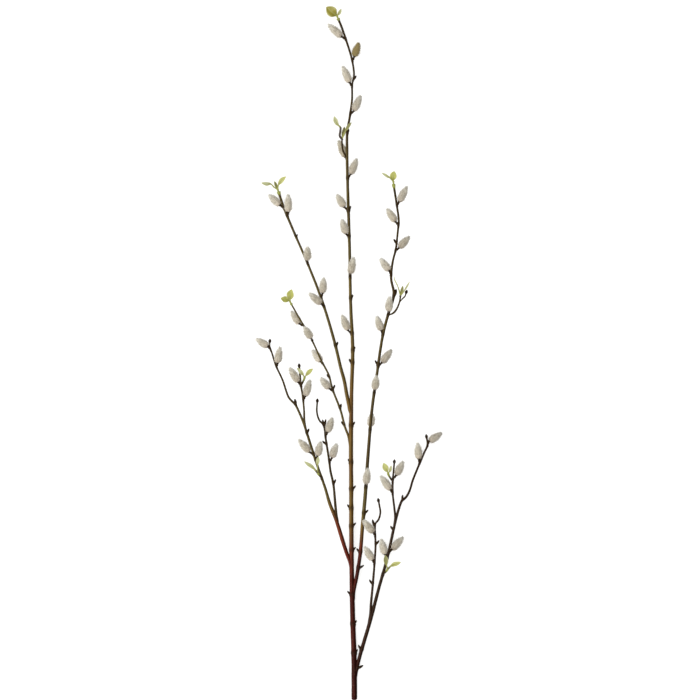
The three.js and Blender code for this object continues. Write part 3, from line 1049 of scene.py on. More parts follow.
@dataclass(frozen=True)
class EndBud:
    """The shape of the bud that ends a thin twig: a knob under a short point, with two scales' lips."""

    radius: float = 2.2 * MM
    length: float = 6.6 * MM
    seated: float = 0.3
    knob_run: float = 0.86
    knob_start: float = 0.12
    knob_fullness: float = 0.8
    least: float = 0.1
    lip: float = 0.1
    lip_place: float = 0.55
    lip_width: float = 0.06
    sides: int = 12
    rings: int = 14
    tone: float = 0.85
    dark: float = 0.9

    def width(self, along: float, angle: float) -> float:
        """Gives the bud's radius.

        Args:
            along: How far along the bud.
            angle: Where around it.

        Returns:
            The radius in metres.
        """
        share = along / self.length
        knob = math.sin(math.pi * min(share * self.knob_run + self.knob_start, 1.0)) ** self.knob_fullness
        lip = self.lip * bell(share - self.lip_place, self.lip_width) * math.cos(angle) ** 2
        return self.radius * max(knob + lip, self.least)


@dataclass(frozen=True)
class CatkinStalk:
    """The shape of a catkin's stalk: a cushion at its foot, and a lobed cup of two bud scales."""

    radius: float = 1.3 * MM
    root_length: float = 1.8 * MM
    reach: float = 5 * MM
    bend: float = 2.6 * MM
    cushion: float = 0.85 * MM
    cushion_place: float = 2.2 * MM
    cushion_length: float = 2.0 * MM
    cup_radius: float = 2.5 * MM
    cup_depth: float = 2.4 * MM
    cup_opening: Span = (-2.0 * MM, 0.5 * MM)
    rim: float = 1.2 * MM
    rim_lobes: float = 0.9 * MM
    rim_run: Span = (-0.4 * MM, 0.6 * MM)
    rim_closing: float = 0.7
    ring_step: float = 0.45 * MM
    fewest_rings: int = 8
    sides: int = 12
    tone: float = 0.85
    foot_dark: float = 0.6
    cup_dark: float = 0.3
    dark_run: float = 4 * MM

    def width(self, past_seat: float, along: float, angle: float) -> float:
        """Gives the radius of the stalk and of its cup.

        Args:
            past_seat: How far past the catkin's foot, below 0 before it.
            along: How far along the stalk.
            angle: Where around it.

        Returns:
            The radius in metres.
        """
        wide = self.radius + (self.cup_radius - self.radius) * eased(*self.cup_opening, past_seat)
        wide += self.cushion * bell(along - self.cushion_place, self.cushion_length)
        wide *= rooted(along, self.root_length)
        past_rim = past_seat - self.rim - self.rim_lobes * math.cos(2 * angle)
        return wide * (1 - self.rim_closing * eased(*self.rim_run, past_rim))

    def dark(self, past_seat: float) -> float:
        """Tells how dark the stalk is, by the distance past the catkin's foot."""
        return self.foot_dark + self.cup_dark * eased(-self.dark_run, 0.0, past_seat)


@dataclass(frozen=True)
class SprigStalk:
    """The shape of a leaf sprig's stalk, which swells a little under the leaves."""

    radius: float = 1.3 * MM
    root_length: float = 1.8 * MM
    bend: float = 2.6 * MM
    past_foot: float = 1.0 * MM
    slim: float = 0.95
    swell: float = 0.2
    swell_run: Span = (0.6, 1.0)
    ring_step: float = 0.6 * MM
    fewest_rings: int = 8
    sides: int = 10
    tone: float = 0.8
    side_gain: float = 1.2
    side_lift: float = 1.0
    side_dark: float = 0.5
    side_greening: Span = (0.4, 1.0)
    end_greening: Span = (0.2, 0.9)


@dataclass(frozen=True)
class WoodBuilder:
    """Models a piece of wood: bark with knots, scaly buds and the stalks that hold catkins and sprigs."""

    ring_step: float = 1.2 * MM
    thick_from: float = 3.5
    thick_sides: int = 18
    thin_sides: int = 12
    cut_slant: float = 0.5
    flare: float = 0.2
    flare_length: float = 16 * MM
    root_length: float = 12 * MM
    knot_swell: float = 0.16
    knot_length: float = 3.2 * MM
    knot_reach: float = 4.0
    knot_dark: float = 0.65
    slim_gain: float = 0.25
    slim_range: Span = (4.2 * MM, 5.6 * MM)
    leafy_swell: float = 0.9 * MM
    leafy_end: float = 0.2
    green_end: float = 0.5
    green_most: float = 0.9
    scar_height: float = 0.45 * MM
    scar_length: float = 1.3 * MM
    scar_below: float = 1.6 * MM
    scar_focus: int = 3
    wrinkle: float = 0.05
    wrinkle_length: float = 14 * MM
    wrinkles_apart: float = 7.0
    side_bud: SideBud = SideBud()
    end_bud: EndBud = EndBud()
    catkin_stalk: CatkinStalk = CatkinStalk()
    sprig_stalk: SprigStalk = SprigStalk()

    def build(self, wood: Wood, bark: bpy.types.Material, cut: bpy.types.Material) -> None:
        """Models one piece of wood and dresses it.

        Args:
            wood: What to model.
            bark: The bark material.
            cut: The cut end's material.
        """
        work = WoodMesh()
        paths = [shoot.path() for shoot in wood.shoots]
        knots: list[list[Knot]] = [[] for _ in paths]
        for bud in wood.buds:
            self.add_bud(work, wood, paths, knots, bud)
        for node in wood.catkin_nodes():
            self.add_catkin_stalk(work, wood, paths, knots, node)
        for sprig in wood.sprigs:
            self.add_sprig_stalk(work, wood, paths, knots, sprig)
        for index, (shoot, path) in enumerate(zip(wood.shoots, paths)):
            self.add_bark(work, wood, index, path, knots[index])
            if shoot.end_bud:
                self.add_end_bud(work, path)
        mesh = work.finished(f"{wood.node}_wood")
        mesh.materials.append(bark)
        mesh.materials.append(cut)
        add_piece(mesh, wood.node)

    def add_bark(self, work: "WoodMesh", wood: Wood, index: int, path: Route, knots: Sequence[Knot]) -> None:
        """Adds one shoot's bark.

        Args:
            work: The mesh to add to.
            wood: The wood that the shoot belongs to.
            index: The shoot's index.
            path: Its route.
            knots: Its thickened places.
        """
        shoot = wood.shoots[index]
        is_leader = wood.node == LEADER and index == 0
        offset = Vector((index * self.wrinkles_apart, len(wood.node), 0.0))
        green_run = wood.green_run(index)
        green_start = path.length - green_run
        leafy_end = path.length - self.leafy_end * green_run
        green_end = path.length - self.green_end * green_run

        def radius(distance: float, angle: float) -> float:
            """Gives the bark's radius at a place on it."""
            thick = spread(shoot.thickness, distance / path.length) * MM
            wide = thick / 2 * (1 + self.slim_gain * (1 - eased(*self.slim_range, thick)))
            grown = wide
            if not is_leader:
                flared = 1 + self.flare * bell(distance, self.flare_length)
                grown = wide * flared * rooted(distance, self.root_length)
            if green_run > 0:
                grown += self.leafy_swell * eased(green_start, leafy_end, distance)
            for knot in knots:
                away = distance - knot.distance
                if abs(away) > self.knot_reach * self.knot_length:
                    continue
                facing = max(math.cos(angle - knot.angle), 0.0) ** self.scar_focus
                grown += wide * self.knot_swell * bell(away, self.knot_length)
                grown += self.scar_height * bell(away + self.scar_below, self.scar_length) * facing
            around = Vector((math.cos(angle), math.sin(angle), distance / self.wrinkle_length))
            return grown * (1 + self.wrinkle * noise.noise(offset + around))

        sides = self.thick_sides if shoot.thickness[0] > self.thick_from else self.thin_sides
        rings = round(path.length / self.ring_step)
        slant = self.cut_slant if is_leader else 0.0
        placed = turned_along(work.bm, path, radius, sides, rings, slant)
        for item in placed:
            aways = (item.distance - knot.distance for knot in knots)
            near = max((bell(away, self.knot_length) for away in aways), default=0.0)
            tone = spread(shoot.tone, item.distance / path.length)
            green = self.green_most * eased(green_start, green_end, item.distance) if green_run > 0 else 0.0
            work.mark(item, tone, dark=self.knot_dark * near, green=green)
        if is_leader:
            foot = {item.vert for item in placed if item.distance == 0.0}
            end = next(face for face in work.bm.faces if set(face.verts) == foot)
            end.material_index = 1

    def knot_at(self, path: Route, distance: float, towards: Vector) -> Knot:
        """Makes a knot on the side of a shoot that faces a place.

        Args:
            path: The shoot's route.
            distance: How far along it the knot lies.
            towards: The place.

        Returns:
            The knot.
        """
        here = path.frame(distance)
        out = towards - here.place
        return Knot(distance, math.atan2(out.dot(here.over), out.dot(here.aside)))

    def add_bud(
        self, work: "WoodMesh", wood: Wood, paths: Sequence[Route], knots: list[list[Knot]], bud: Bud
    ) -> None:
        """Adds a small blunt bud that leans along its shoot from a swollen foot.

        Args:
            work: The mesh to add to.
            wood: The wood.
            paths: Its shoots' routes.
            knots: Its shoots' knots, which get one more.
            bud: The bud.
        """
        shape = self.side_bud
        tip = spot(bud.x, bud.y, 0.0)
        index, distance, start = wood.hold(tip, shape.reach * bud.size)
        path = paths[index]
        tip.z = path.at(distance).z
        root = path.at(start)
        outward = (tip - path.at(distance)).normalized()
        bow = Route.bow(root, root.lerp(tip, shape.corner) + outward * shape.bulge, tip)

        def radius(along: float, angle: float) -> float:
            """Gives the bud's radius at a place on it."""
            return bud.size * shape.width(along / bow.length, angle)

        for item in turned_along(work.bm, bow, radius, shape.sides, shape.rings):
            work.mark(item, shape.tone, dark=shape.dark(item.distance / bow.length))
        knots[index].append(self.knot_at(path, start + shape.knot_ahead, tip))

    def add_end_bud(self, work: "WoodMesh", path: Route) -> None:
        """Adds the round bud that ends a thin twig.

        Args:
            work: The mesh to add to.
            path: The twig's route.
        """
        shape = self.end_bud
        here = path.frame(path.length)
        start = here.place - here.ahead * shape.length * shape.seated
        line = Route([start, here.place, start + here.ahead * shape.length])
        for item in turned_along(work.bm, line, shape.width, shape.sides, shape.rings):
            work.mark(item, shape.tone, dark=shape.dark)

    def add_catkin_stalk(
        self, work: "WoodMesh", wood: Wood, paths: Sequence[Route], knots: list[list[Knot]], node: str
    ) -> None:
        """Adds a catkin's stalk, which opens into a small cup of two bud scales.

        Args:
            work: The mesh to add to.
            wood: The wood.
            paths: Its shoots' routes.
            knots: Its shoots' knots, which get one more.
            node: The catkin's CAD node.
        """
        shape = self.catkin_stalk
        ends = CatkinEnds.of(node)
        index, _, start = wood.hold(ends.foot, shape.reach)
        root = paths[index].at(start)
        bow = Route.bow(root, ends.foot - ends.axis * shape.bend, ends.foot, shape.cup_depth)
        seat = bow.length - shape.cup_depth

        def radius(along: float, angle: float) -> float:
            """Gives the stalk's radius at a place on it."""
            return shape.width(along - seat, along, angle)

        rings = max(round(bow.length / shape.ring_step), shape.fewest_rings)
        for item in turned_along(work.bm, bow, radius, shape.sides, rings):
            work.mark(item, shape.tone, dark=shape.dark(item.distance - seat))
        knots[index].append(self.knot_at(paths[index], start, ends.foot))

    def add_sprig_stalk(
        self, work: "WoodMesh", wood: Wood, paths: Sequence[Route], knots: list[list[Knot]], sprig: Sprig
    ) -> None:
        """Adds the stalk that holds a leaf sprig.

        Args:
            work: The mesh to add to.
            wood: The wood.
            paths: Its shoots' routes.
            knots: Its shoots' knots, which get one more if the sprig grows from a shoot's side.
            sprig: The sprig.
        """
        shape = self.sprig_stalk
        seat = wood.sprig_seat(sprig)
        bow = Route.bow(seat.root, seat.foot - seat.axis * shape.bend, seat.foot, shape.past_foot)
        is_aside = sprig.lift > shape.side_lift
        full = shape.radius * (shape.side_gain if is_aside else 1.0)

        def radius(along: float, angle: float) -> float:
            """Gives the stalk's radius at a place on it."""
            swollen = shape.slim + shape.swell * eased(*shape.swell_run, along / bow.length)
            return full * swollen * rooted(along, shape.root_length)

        rings = max(round(bow.length / shape.ring_step), shape.fewest_rings)
        greening = shape.side_greening if is_aside else shape.end_greening
        for item in turned_along(work.bm, bow, radius, shape.sides, rings):
            green = 0.0 if sprig.green_run == 0 else eased(*greening, item.distance / bow.length)
            dark = shape.side_dark * (1 - green) if is_aside else 0.0
            work.mark(item, shape.tone, dark=dark, green=green)
        if is_aside:
            index, _, start = wood.hold(seat.foot, sprig.reach * MM)
            knots[index].append(self.knot_at(paths[index], start, seat.foot))


class WoodMesh:
    """A piece of wood while it is modelled, with what its bark finish reads at each vertex."""

    def __init__(self) -> None:
        """Starts an empty piece of wood."""
        self.bm = bmesh.new()
        self.grain = self.bm.verts.layers.float_vector.new("grain")
        self.tone = self.bm.verts.layers.float.new("tone")
        self.dark = self.bm.verts.layers.float.new("dark")
        self.green = self.bm.verts.layers.float.new("green")

    def mark(self, item: Placed, tone: float, dark: float = 0.0, green: float = 0.0) -> None:
        """Notes what the bark is like at a vertex.

        Args:
            item: The vertex.
            tone: Its place on the bark's ramp of tones.
            dark: How dark it is, as buds are.
            green: How green it is, as leaf stalks are.
        """
        across = math.cos(item.angle) * item.radius
        over = math.sin(item.angle) * item.radius
        item.vert[self.grain] = Vector((across, over, item.distance))
        item.vert[self.tone] = tone
        item.vert[self.dark] = dark
        item.vert[self.green] = green

    def finished(self, name: str) -> bpy.types.Mesh:
        """Closes the work and gives its mesh.

        Args:
            name: The mesh's name.

        Returns:
            The mesh, with smooth sides and a flat cut end.
        """
        keep_above_floor(self.bm.verts)
        for face in self.bm.faces:
            face.smooth = len(face.verts) == 4
        return mesh_of(self.bm, name)


class CatkinEnds(NamedTuple):
    """Where a catkin starts and ends."""

    foot: Vector
    tip: Vector
    axis: Vector

    FOOT_DEPTH = 0.3 * MM

    @classmethod
    def of(cls, node: str) -> "CatkinEnds":
        """Reads a catkin's ends off its CAD node.

        The node is a turned body that is fuller near its foot, so its tip lies farthest from its middle.

        Args:
            node: The node's name.

        Returns:
            Its ends.
        """
        places = [vert.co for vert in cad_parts[node].data.vertices]
        rounded = {tuple(round(value, SAME_PLACE_DIGITS) for value in place) for place in places}
        unique = [Vector(place) for place in rounded]
        middle = sum(unique, Vector()) / len(unique)
        tip = max(unique, key=lambda place: (place - middle).length)
        inward = (middle - tip).normalized()
        depth = max((place - tip).dot(inward) for place in unique)
        ring = [place for place in unique if (place - tip).dot(inward) > depth - cls.FOOT_DEPTH]
        foot = sum(ring, Vector()) / len(ring)
        return cls(foot, tip, (tip - foot).normalized())


@dataclass(frozen=True)
class CatkinBuilder:
    """Models furry catkins: a turned body whose faces are drawn out into hairs that lean to the tip."""

    length: float = 24 * MM
    body_share: float = 0.92
    radius: float = 4.0 * MM
    profile: tuple[tuple[float, float], ...] = (
        (0.0, 0.0), (0.52, 0.012), (0.86, 0.1), (1.0, 0.3),
        (0.93, 0.5), (0.6, 0.76), (0.23, 0.93), (0.0, 1.0),
    )
    steps: int = 50
    rings: int = 46
    lumps: float = 0.06
    lump_length: float = 2.6 * MM
    kinds_apart: float = 9.0
    short_hair: Span = (1.2 * MM, 2.3 * MM)
    long_hair: Span = (2.9 * MM, 4.8 * MM)
    long_share: float = 0.25
    lift: float = 0.64
    sleek_tip: float = 0.5
    sleek_rise: Span = (0.5, 0.95)
    lean: float = 0.95
    tangle: float = 0.28
    kinds: int = 4
    seed: int = 11
    tint_most: float = 0.16
    # How strongly the catkins that lean right are darkened with painted shade.
    right_lean_painted_shade: float = 0.48
    fullest: float = 6.6 * MM
    softness: float = 0.6

    def build(self, fur: bpy.types.Material) -> None:
        """Models a few kinds of catkin and puts one of them on each catkin node.

        Args:
            fur: The fur material.
        """
        kinds = [self.kind(seed) for seed in range(self.kinds)]
        chance = random.Random(self.seed)
        for index, node in enumerate(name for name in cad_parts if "_catkin_" in name):
            mesh = kinds[index % self.kinds].copy()
            mesh.name = f"{node}_fur"
            ends = CatkinEnds.of(node)
            mesh.transform(self.place(ends, chance.uniform(0, math.tau)))
            keep_above_floor(mesh.vertices)
            mark_whole(mesh, "tint", HUSKY_CATKINS.get(node, chance.uniform(0, self.tint_most)))
            # Painted shade: the more a catkin leans to the right, the darker its fur is painted.
            lean_painted_shade = 0.0 if node in HUSKY_CATKINS else self.right_lean_painted_shade * max(ends.axis.x, 0.0)
            mark_whole(mesh, "lean_painted_shade", lean_painted_shade)
            mesh.materials.append(fur)
            add_piece(mesh, node)
        for kind in kinds:
            bpy.data.meshes.remove(kind)

    def place(self, ends: CatkinEnds, roll: float) -> Matrix:
        """Works out how a standing catkin is turned, stretched and moved to its place.

        Args:
            ends: Where the catkin starts and ends.
            roll: How far it is rolled about itself.

        Returns:
            The matrix.
        """
        stretch = (ends.tip - ends.foot).length / self.length
        turn = UP.rotation_difference(ends.axis).to_matrix().to_4x4()
        return (
            Matrix.Translation(ends.foot) @ turn @ Matrix.Rotation(roll, 4, "Z")
            @ Matrix.Diagonal((1, 1, stretch, 1))
        )

    def kind(self, seed: int) -> bpy.types.Mesh:
        """Models one kind of catkin, standing on the origin.

        Args:
            seed: What its hair's randomness starts from.

        Returns:
            Its mesh.
        """
        chance = random.Random(seed)
        bm = bmesh.new()
        hair = bm.verts.layers.float.new("hair")
        rise = bm.verts.layers.float.new("rise")
        strand = bm.verts.layers.float_vector.new("strand")
        self.spin_body(bm, seed)
        drawn = bmesh.ops.poke(bm, faces=bm.faces[:])
        for vert in bm.verts:
            vert[strand] = vert.co
        for vert in drawn["verts"]:
            self.draw_hair(vert, chance)
            vert[hair] = 1.0
        for vert in bm.verts:
            vert[rise] = vert.co.z / self.length
        mesh = mesh_of(bm, f"catkin_kind_{seed}")
        self.soften(mesh)
        return mesh

    def soften(self, mesh: bpy.types.Mesh) -> None:
        """Turns the hairs' normals towards the body's, because soft fur takes its light as a whole.

        Args:
            mesh: A standing catkin.
        """
        normals = []
        for face in mesh.polygons:
            for index in face.vertices:
                place = mesh.vertices[index].co
                above = place.z - self.fullest
                reach = self.length * self.body_share - self.fullest if above > 0 else self.fullest
                wide = self.radius ** 2
                body = Vector((place.x / wide, place.y / wide, above / reach ** 2)).normalized()
                normals.append(face.normal.lerp(body, self.softness).normalized())
        mesh.normals_split_custom_set(normals)

    def spin_body(self, bm: bmesh.types.BMesh, seed: int) -> None:
        """Spins the catkin's outline into a closed body of small triangles.

        Args:
            bm: The mesh to add to.
            seed: What its lumps' randomness starts from.
        """
        tall = self.length * self.body_share
        corners = [Vector((wide * self.radius, 0, high * tall)) for wide, high in self.profile]
        outline = Route.through(corners)
        stations = [outline.at(outline.length * step / self.rings) for step in range(self.rings + 1)]
        verts = [bm.verts.new((max(place.x, 0.0), 0, place.z)) for place in stations]
        edges = [bm.edges.new(pair) for pair in zip(verts, verts[1:])]
        bmesh.ops.spin(
            bm, geom=[*verts, *edges], axis=UP, cent=(0, 0, 0),
            angle=math.tau, steps=self.steps, use_merge=True,
        )
        bmesh.ops.remove_doubles(bm, verts=bm.verts[:], dist=SAME_PLACE)
        apart = Vector((seed * self.kinds_apart, 0, 0))
        for vert in bm.verts:
            vert.co.xy *= 1 + self.lumps * noise.noise(vert.co / self.lump_length + apart)
        bmesh.ops.recalc_face_normals(bm, faces=bm.faces[:])
        bmesh.ops.triangulate(bm, faces=bm.faces[:])
        settle_faces(bm)

    def draw_hair(self, vert: bmesh.types.BMVert, chance: random.Random) -> None:
        """Draws the middle of a face out into a hair.

        Args:
            vert: The face's middle.
            chance: Where its length and lean come from.
        """
        wanted = self.long_hair if chance.random() < self.long_share else self.short_hair
        tangle = Vector([chance.gauss(0, self.tangle) for _ in range(3)])
        normal = sum((face.normal for face in vert.link_faces), Vector()).normalized()
        lift = self.lift * (1 - self.sleek_tip * eased(*self.sleek_rise, vert.co.z / self.length))
        way = (normal * lift + UP * self.lean + tangle).normalized()
        vert.co += way * chance.uniform(*wanted)


@dataclass(frozen=True)
class SprigBuilder:
    """Models leaf sprigs: a knuckle with thin, gently folded leaves on short petioles."""

    knuckle_radius: float = 1.8 * MM
    knuckle_length: float = 3.4 * MM
    knuckle_foot: float = 0.8
    knuckle_swell: float = 0.2
    knuckle_swell_run: Span = (0.0, 0.5)
    knuckle_drop: float = 0.75
    knuckle_drop_run: Span = (0.45, 1.0)
    knuckle_sides: int = 12
    knuckle_rings: int = 12
    petiole_radius: float = 0.95 * MM
    petiole_sides: int = 8
    petiole_rings: int = 30
    rib_share: float = 0.8
    rib_thinning: float = 0.85
    rib_thick_until: float = 0.6
    woody_gain: float = 0.8
    woody_until: float = 0.8
    stalk_fade: float = 0.8
    stalk_fade_from: float = 0.3
    stalk_fade_past: float = 2 * MM
    blade_across: int = 8
    blade_along: int = 22
    blade_thickness: float = 0.3 * MM
    outline_run: float = 0.985
    outline_start: float = 0.012
    fold: float = 0.28
    fold_curve: float = 1.4
    ripple: float = 0.35 * MM
    ripple_pace: float = 11.0
    ripple_width: float = 3 * MM

    def build(self, wood: Wood, sprig: Sprig, material: bpy.types.Material) -> None:
        """Models one sprig and dresses it.

        Args:
            wood: The wood that it grows on.
            sprig: What to model.
            material: The leaf material.
        """
        seat = wood.sprig_seat(sprig)
        bm = bmesh.new()
        layers = {name: bm.verts.layers.float.new(name) for name in ("tone", "stalk", "brown")}
        blade = bm.verts.layers.float_vector.new("blade")
        end = seat.foot + seat.axis * self.knuckle_length
        middle = seat.foot.lerp(end, 0.5)
        line = Route([seat.foot, middle, end])
        for item in turned_along(bm, line, self.knuckle_width, self.knuckle_sides, self.knuckle_rings):
            item.vert[layers["stalk"]] = 1.0
            item.vert[layers["brown"]] = float(sprig.green_run == 0)
        height = seat.foot.z / MM
        for leaf in sprig.leaves:
            path = Route.through([middle, *(spot(x, y, height + rise) for x, y, rise in leaf.via)])
            self.add_petiole(bm, layers, path, leaf)
            self.add_blade(bm, layers, blade, path, leaf)
        keep_above_floor(bm.verts)
        for face in bm.faces:
            face.smooth = True
        mesh = mesh_of(bm, f"{sprig.node}_sprig")
        mesh.materials.append(material)
        add_piece(mesh, sprig.node)

    def knuckle_width(self, along: float, angle: float) -> float:
        """Gives the knuckle's radius.

        Args:
            along: How far along the knuckle.
            angle: Where around it, which makes no difference here.

        Returns:
            The radius in metres.
        """
        share = along / self.knuckle_length
        wide = self.knuckle_foot + self.knuckle_swell * eased(*self.knuckle_swell_run, share)
        return self.knuckle_radius * (wide - self.knuckle_drop * eased(*self.knuckle_drop_run, share))

    def add_petiole(self, bm: bmesh.types.BMesh, layers: dict, path: Route, leaf: Leaf) -> None:
        """Adds a leaf's petiole, which runs on under the blade as its midrib.

        Args:
            bm: The mesh to add to.
            layers: The vertex layers that the leaf finish reads.
            path: The leaf's route.
            leaf: The leaf.
        """
        reach = path.length * (leaf.petiole + (1 - leaf.petiole) * self.rib_share)
        steps = self.petiole_rings
        rib = Route([path.at(reach * step / steps) for step in range(steps + 1)])
        blade_start = path.length * leaf.petiole

        def radius(along: float, angle: float) -> float:
            """Gives the petiole's radius, thinning along the blade."""
            thin = 1 - self.rib_thinning * eased(blade_start * self.rib_thick_until, reach, along)
            return self.petiole_radius * thin * (1 + self.woody_gain * leaf.woody)

        for item in turned_along(bm, rib, radius, self.petiole_sides, steps):
            fade_start = self.stalk_fade_from * blade_start
            faded = eased(fade_start, blade_start + self.stalk_fade_past, item.distance)
            past_wood = eased(self.woody_until * blade_start, blade_start, item.distance)
            item.vert[layers["stalk"]] = 1 - self.stalk_fade * faded
            item.vert[layers["brown"]] = leaf.woody * (1 - past_wood)
            item.vert[layers["tone"]] = leaf.tone.value

    def add_blade(
        self, bm: bmesh.types.BMesh, layers: dict, blade: bmesh.types.BMLayerItem, path: Route, leaf: Leaf
    ) -> None:
        """Adds a leaf's blade: a thin sheet, folded along its midrib and rippled at its edges.

        Args:
            bm: The mesh to add to.
            layers: The vertex layers that the leaf finish reads.
            blade: The layer that holds the place on the blade.
            path: The leaf's route.
            leaf: The leaf.
        """
        made = bmesh.ops.create_grid(bm, x_segments=self.blade_across, y_segments=self.blade_along, size=0.5)
        for vert in made["verts"]:
            across = vert.co.x * 2
            share = vert.co.y + 0.5
            here = path.frame(path.length * (leaf.petiole + (1 - leaf.petiole) * share))
            turned = Matrix.Rotation(math.radians(leaf.turn), 3, here.ahead)
            outline = math.sin(math.pi * min(share * self.outline_run + self.outline_start, 1.0))
            half = leaf.width * MM / 2 * outline ** leaf.fullness
            wave = self.ripple * math.sin(share * self.ripple_pace + leaf.turn) * across ** 2
            raised = self.fold * half * abs(across) ** self.fold_curve + wave * (half / self.ripple_width)
            vert[blade] = Vector((across, share, 0))
            vert[layers["tone"]] = leaf.tone.value
            vert.co = here.place + turned @ here.aside * across * half + turned @ here.over * raised
        faces = list(dict.fromkeys(face for vert in made["verts"] for face in vert.link_faces))
        bmesh.ops.recalc_face_normals(bm, faces=faces)
        bmesh.ops.solidify(bm, geom=faces, thickness=self.blade_thickness)


class Sun(NamedTuple):
    """A light from one side: its strength, where it comes from, its width in degrees and its shadows."""

    name: str
    strength: float
    source: Triple
    softness: float
    casts_shadow: bool


@dataclass(frozen=True)
class Studio:
    """A pale floor, soft light from above and the left, and a camera that looks straight down."""

    floor_size: float = 40.0
    lens: float = 400.0
    sensor: float = 36.0
    sight: float = 100.0
    sky_strength: float = 0.52
    suns: tuple[Sun, ...] = (
        Sun("key_light", 0.6, (-0.85, 0.3, 0.55), 90.0, True),
        Sun("side_light", 0.9, (-1.0, 0.0, 0.55), 12.0, False),
        Sun("fill_light", 1.9, (-0.2, -0.2, 1.0), 30.0, False),
    )

    def build(self, floor_material: bpy.types.Material) -> None:
        """Builds the floor, the lights and the camera.

        Args:
            floor_material: The floor's material.
        """
        bpy.context.scene.view_settings.view_transform = "Standard"
        self.add_floor(floor_material)
        self.add_sky()
        for sun in self.suns:
            self.add_sun(sun)
        self.add_camera()

    def add_floor(self, material: bpy.types.Material) -> None:
        """Adds the floor.

        Args:
            material: Its material.
        """
        bm = bmesh.new()
        bmesh.ops.create_grid(bm, x_segments=1, y_segments=1, size=self.floor_size / 2)
        mesh = mesh_of(bm, "floor")
        mesh.materials.append(material)
        floor = bpy.data.objects.new("floor", mesh)
        bpy.context.scene.collection.objects.link(floor)

    def add_sky(self) -> None:
        """Adds even white light from all around."""
        world = bpy.data.worlds.new("studio")
        world.use_nodes = True
        background = world.node_tree.nodes["Background"]
        background.inputs["Color"].default_value = (1, 1, 1, 1)
        background.inputs["Strength"].default_value = self.sky_strength
        bpy.context.scene.world = world

    def add_sun(self, sun: Sun) -> None:
        """Adds a light that comes from one side.

        Args:
            sun: What the light is like.
        """
        light = bpy.data.lights.new(sun.name, "SUN")
        light.energy = sun.strength
        light.angle = math.radians(sun.softness)
        light.use_shadow = sun.casts_shadow
        lamp = bpy.data.objects.new(sun.name, light)
        lamp.rotation_euler = Vector(sun.source).to_track_quat("Z", "Y").to_euler()
        bpy.context.scene.collection.objects.link(lamp)

    def add_camera(self) -> None:
        """Adds the camera over the middle of the photo's frame."""
        data = bpy.data.cameras.new("camera")
        data.lens = self.lens
        data.sensor_width = self.sensor
        data.clip_end = self.sight
        camera = bpy.data.objects.new("camera", data)
        camera.location = spot(PHOTO_PIXELS / 2, PHOTO_PIXELS / 2, 0.0)
        camera.location.z = PHOTO_PIXELS * METRES_PER_PIXEL * self.lens / self.sensor
        bpy.context.scene.collection.objects.link(camera)
        bpy.context.scene.camera = camera


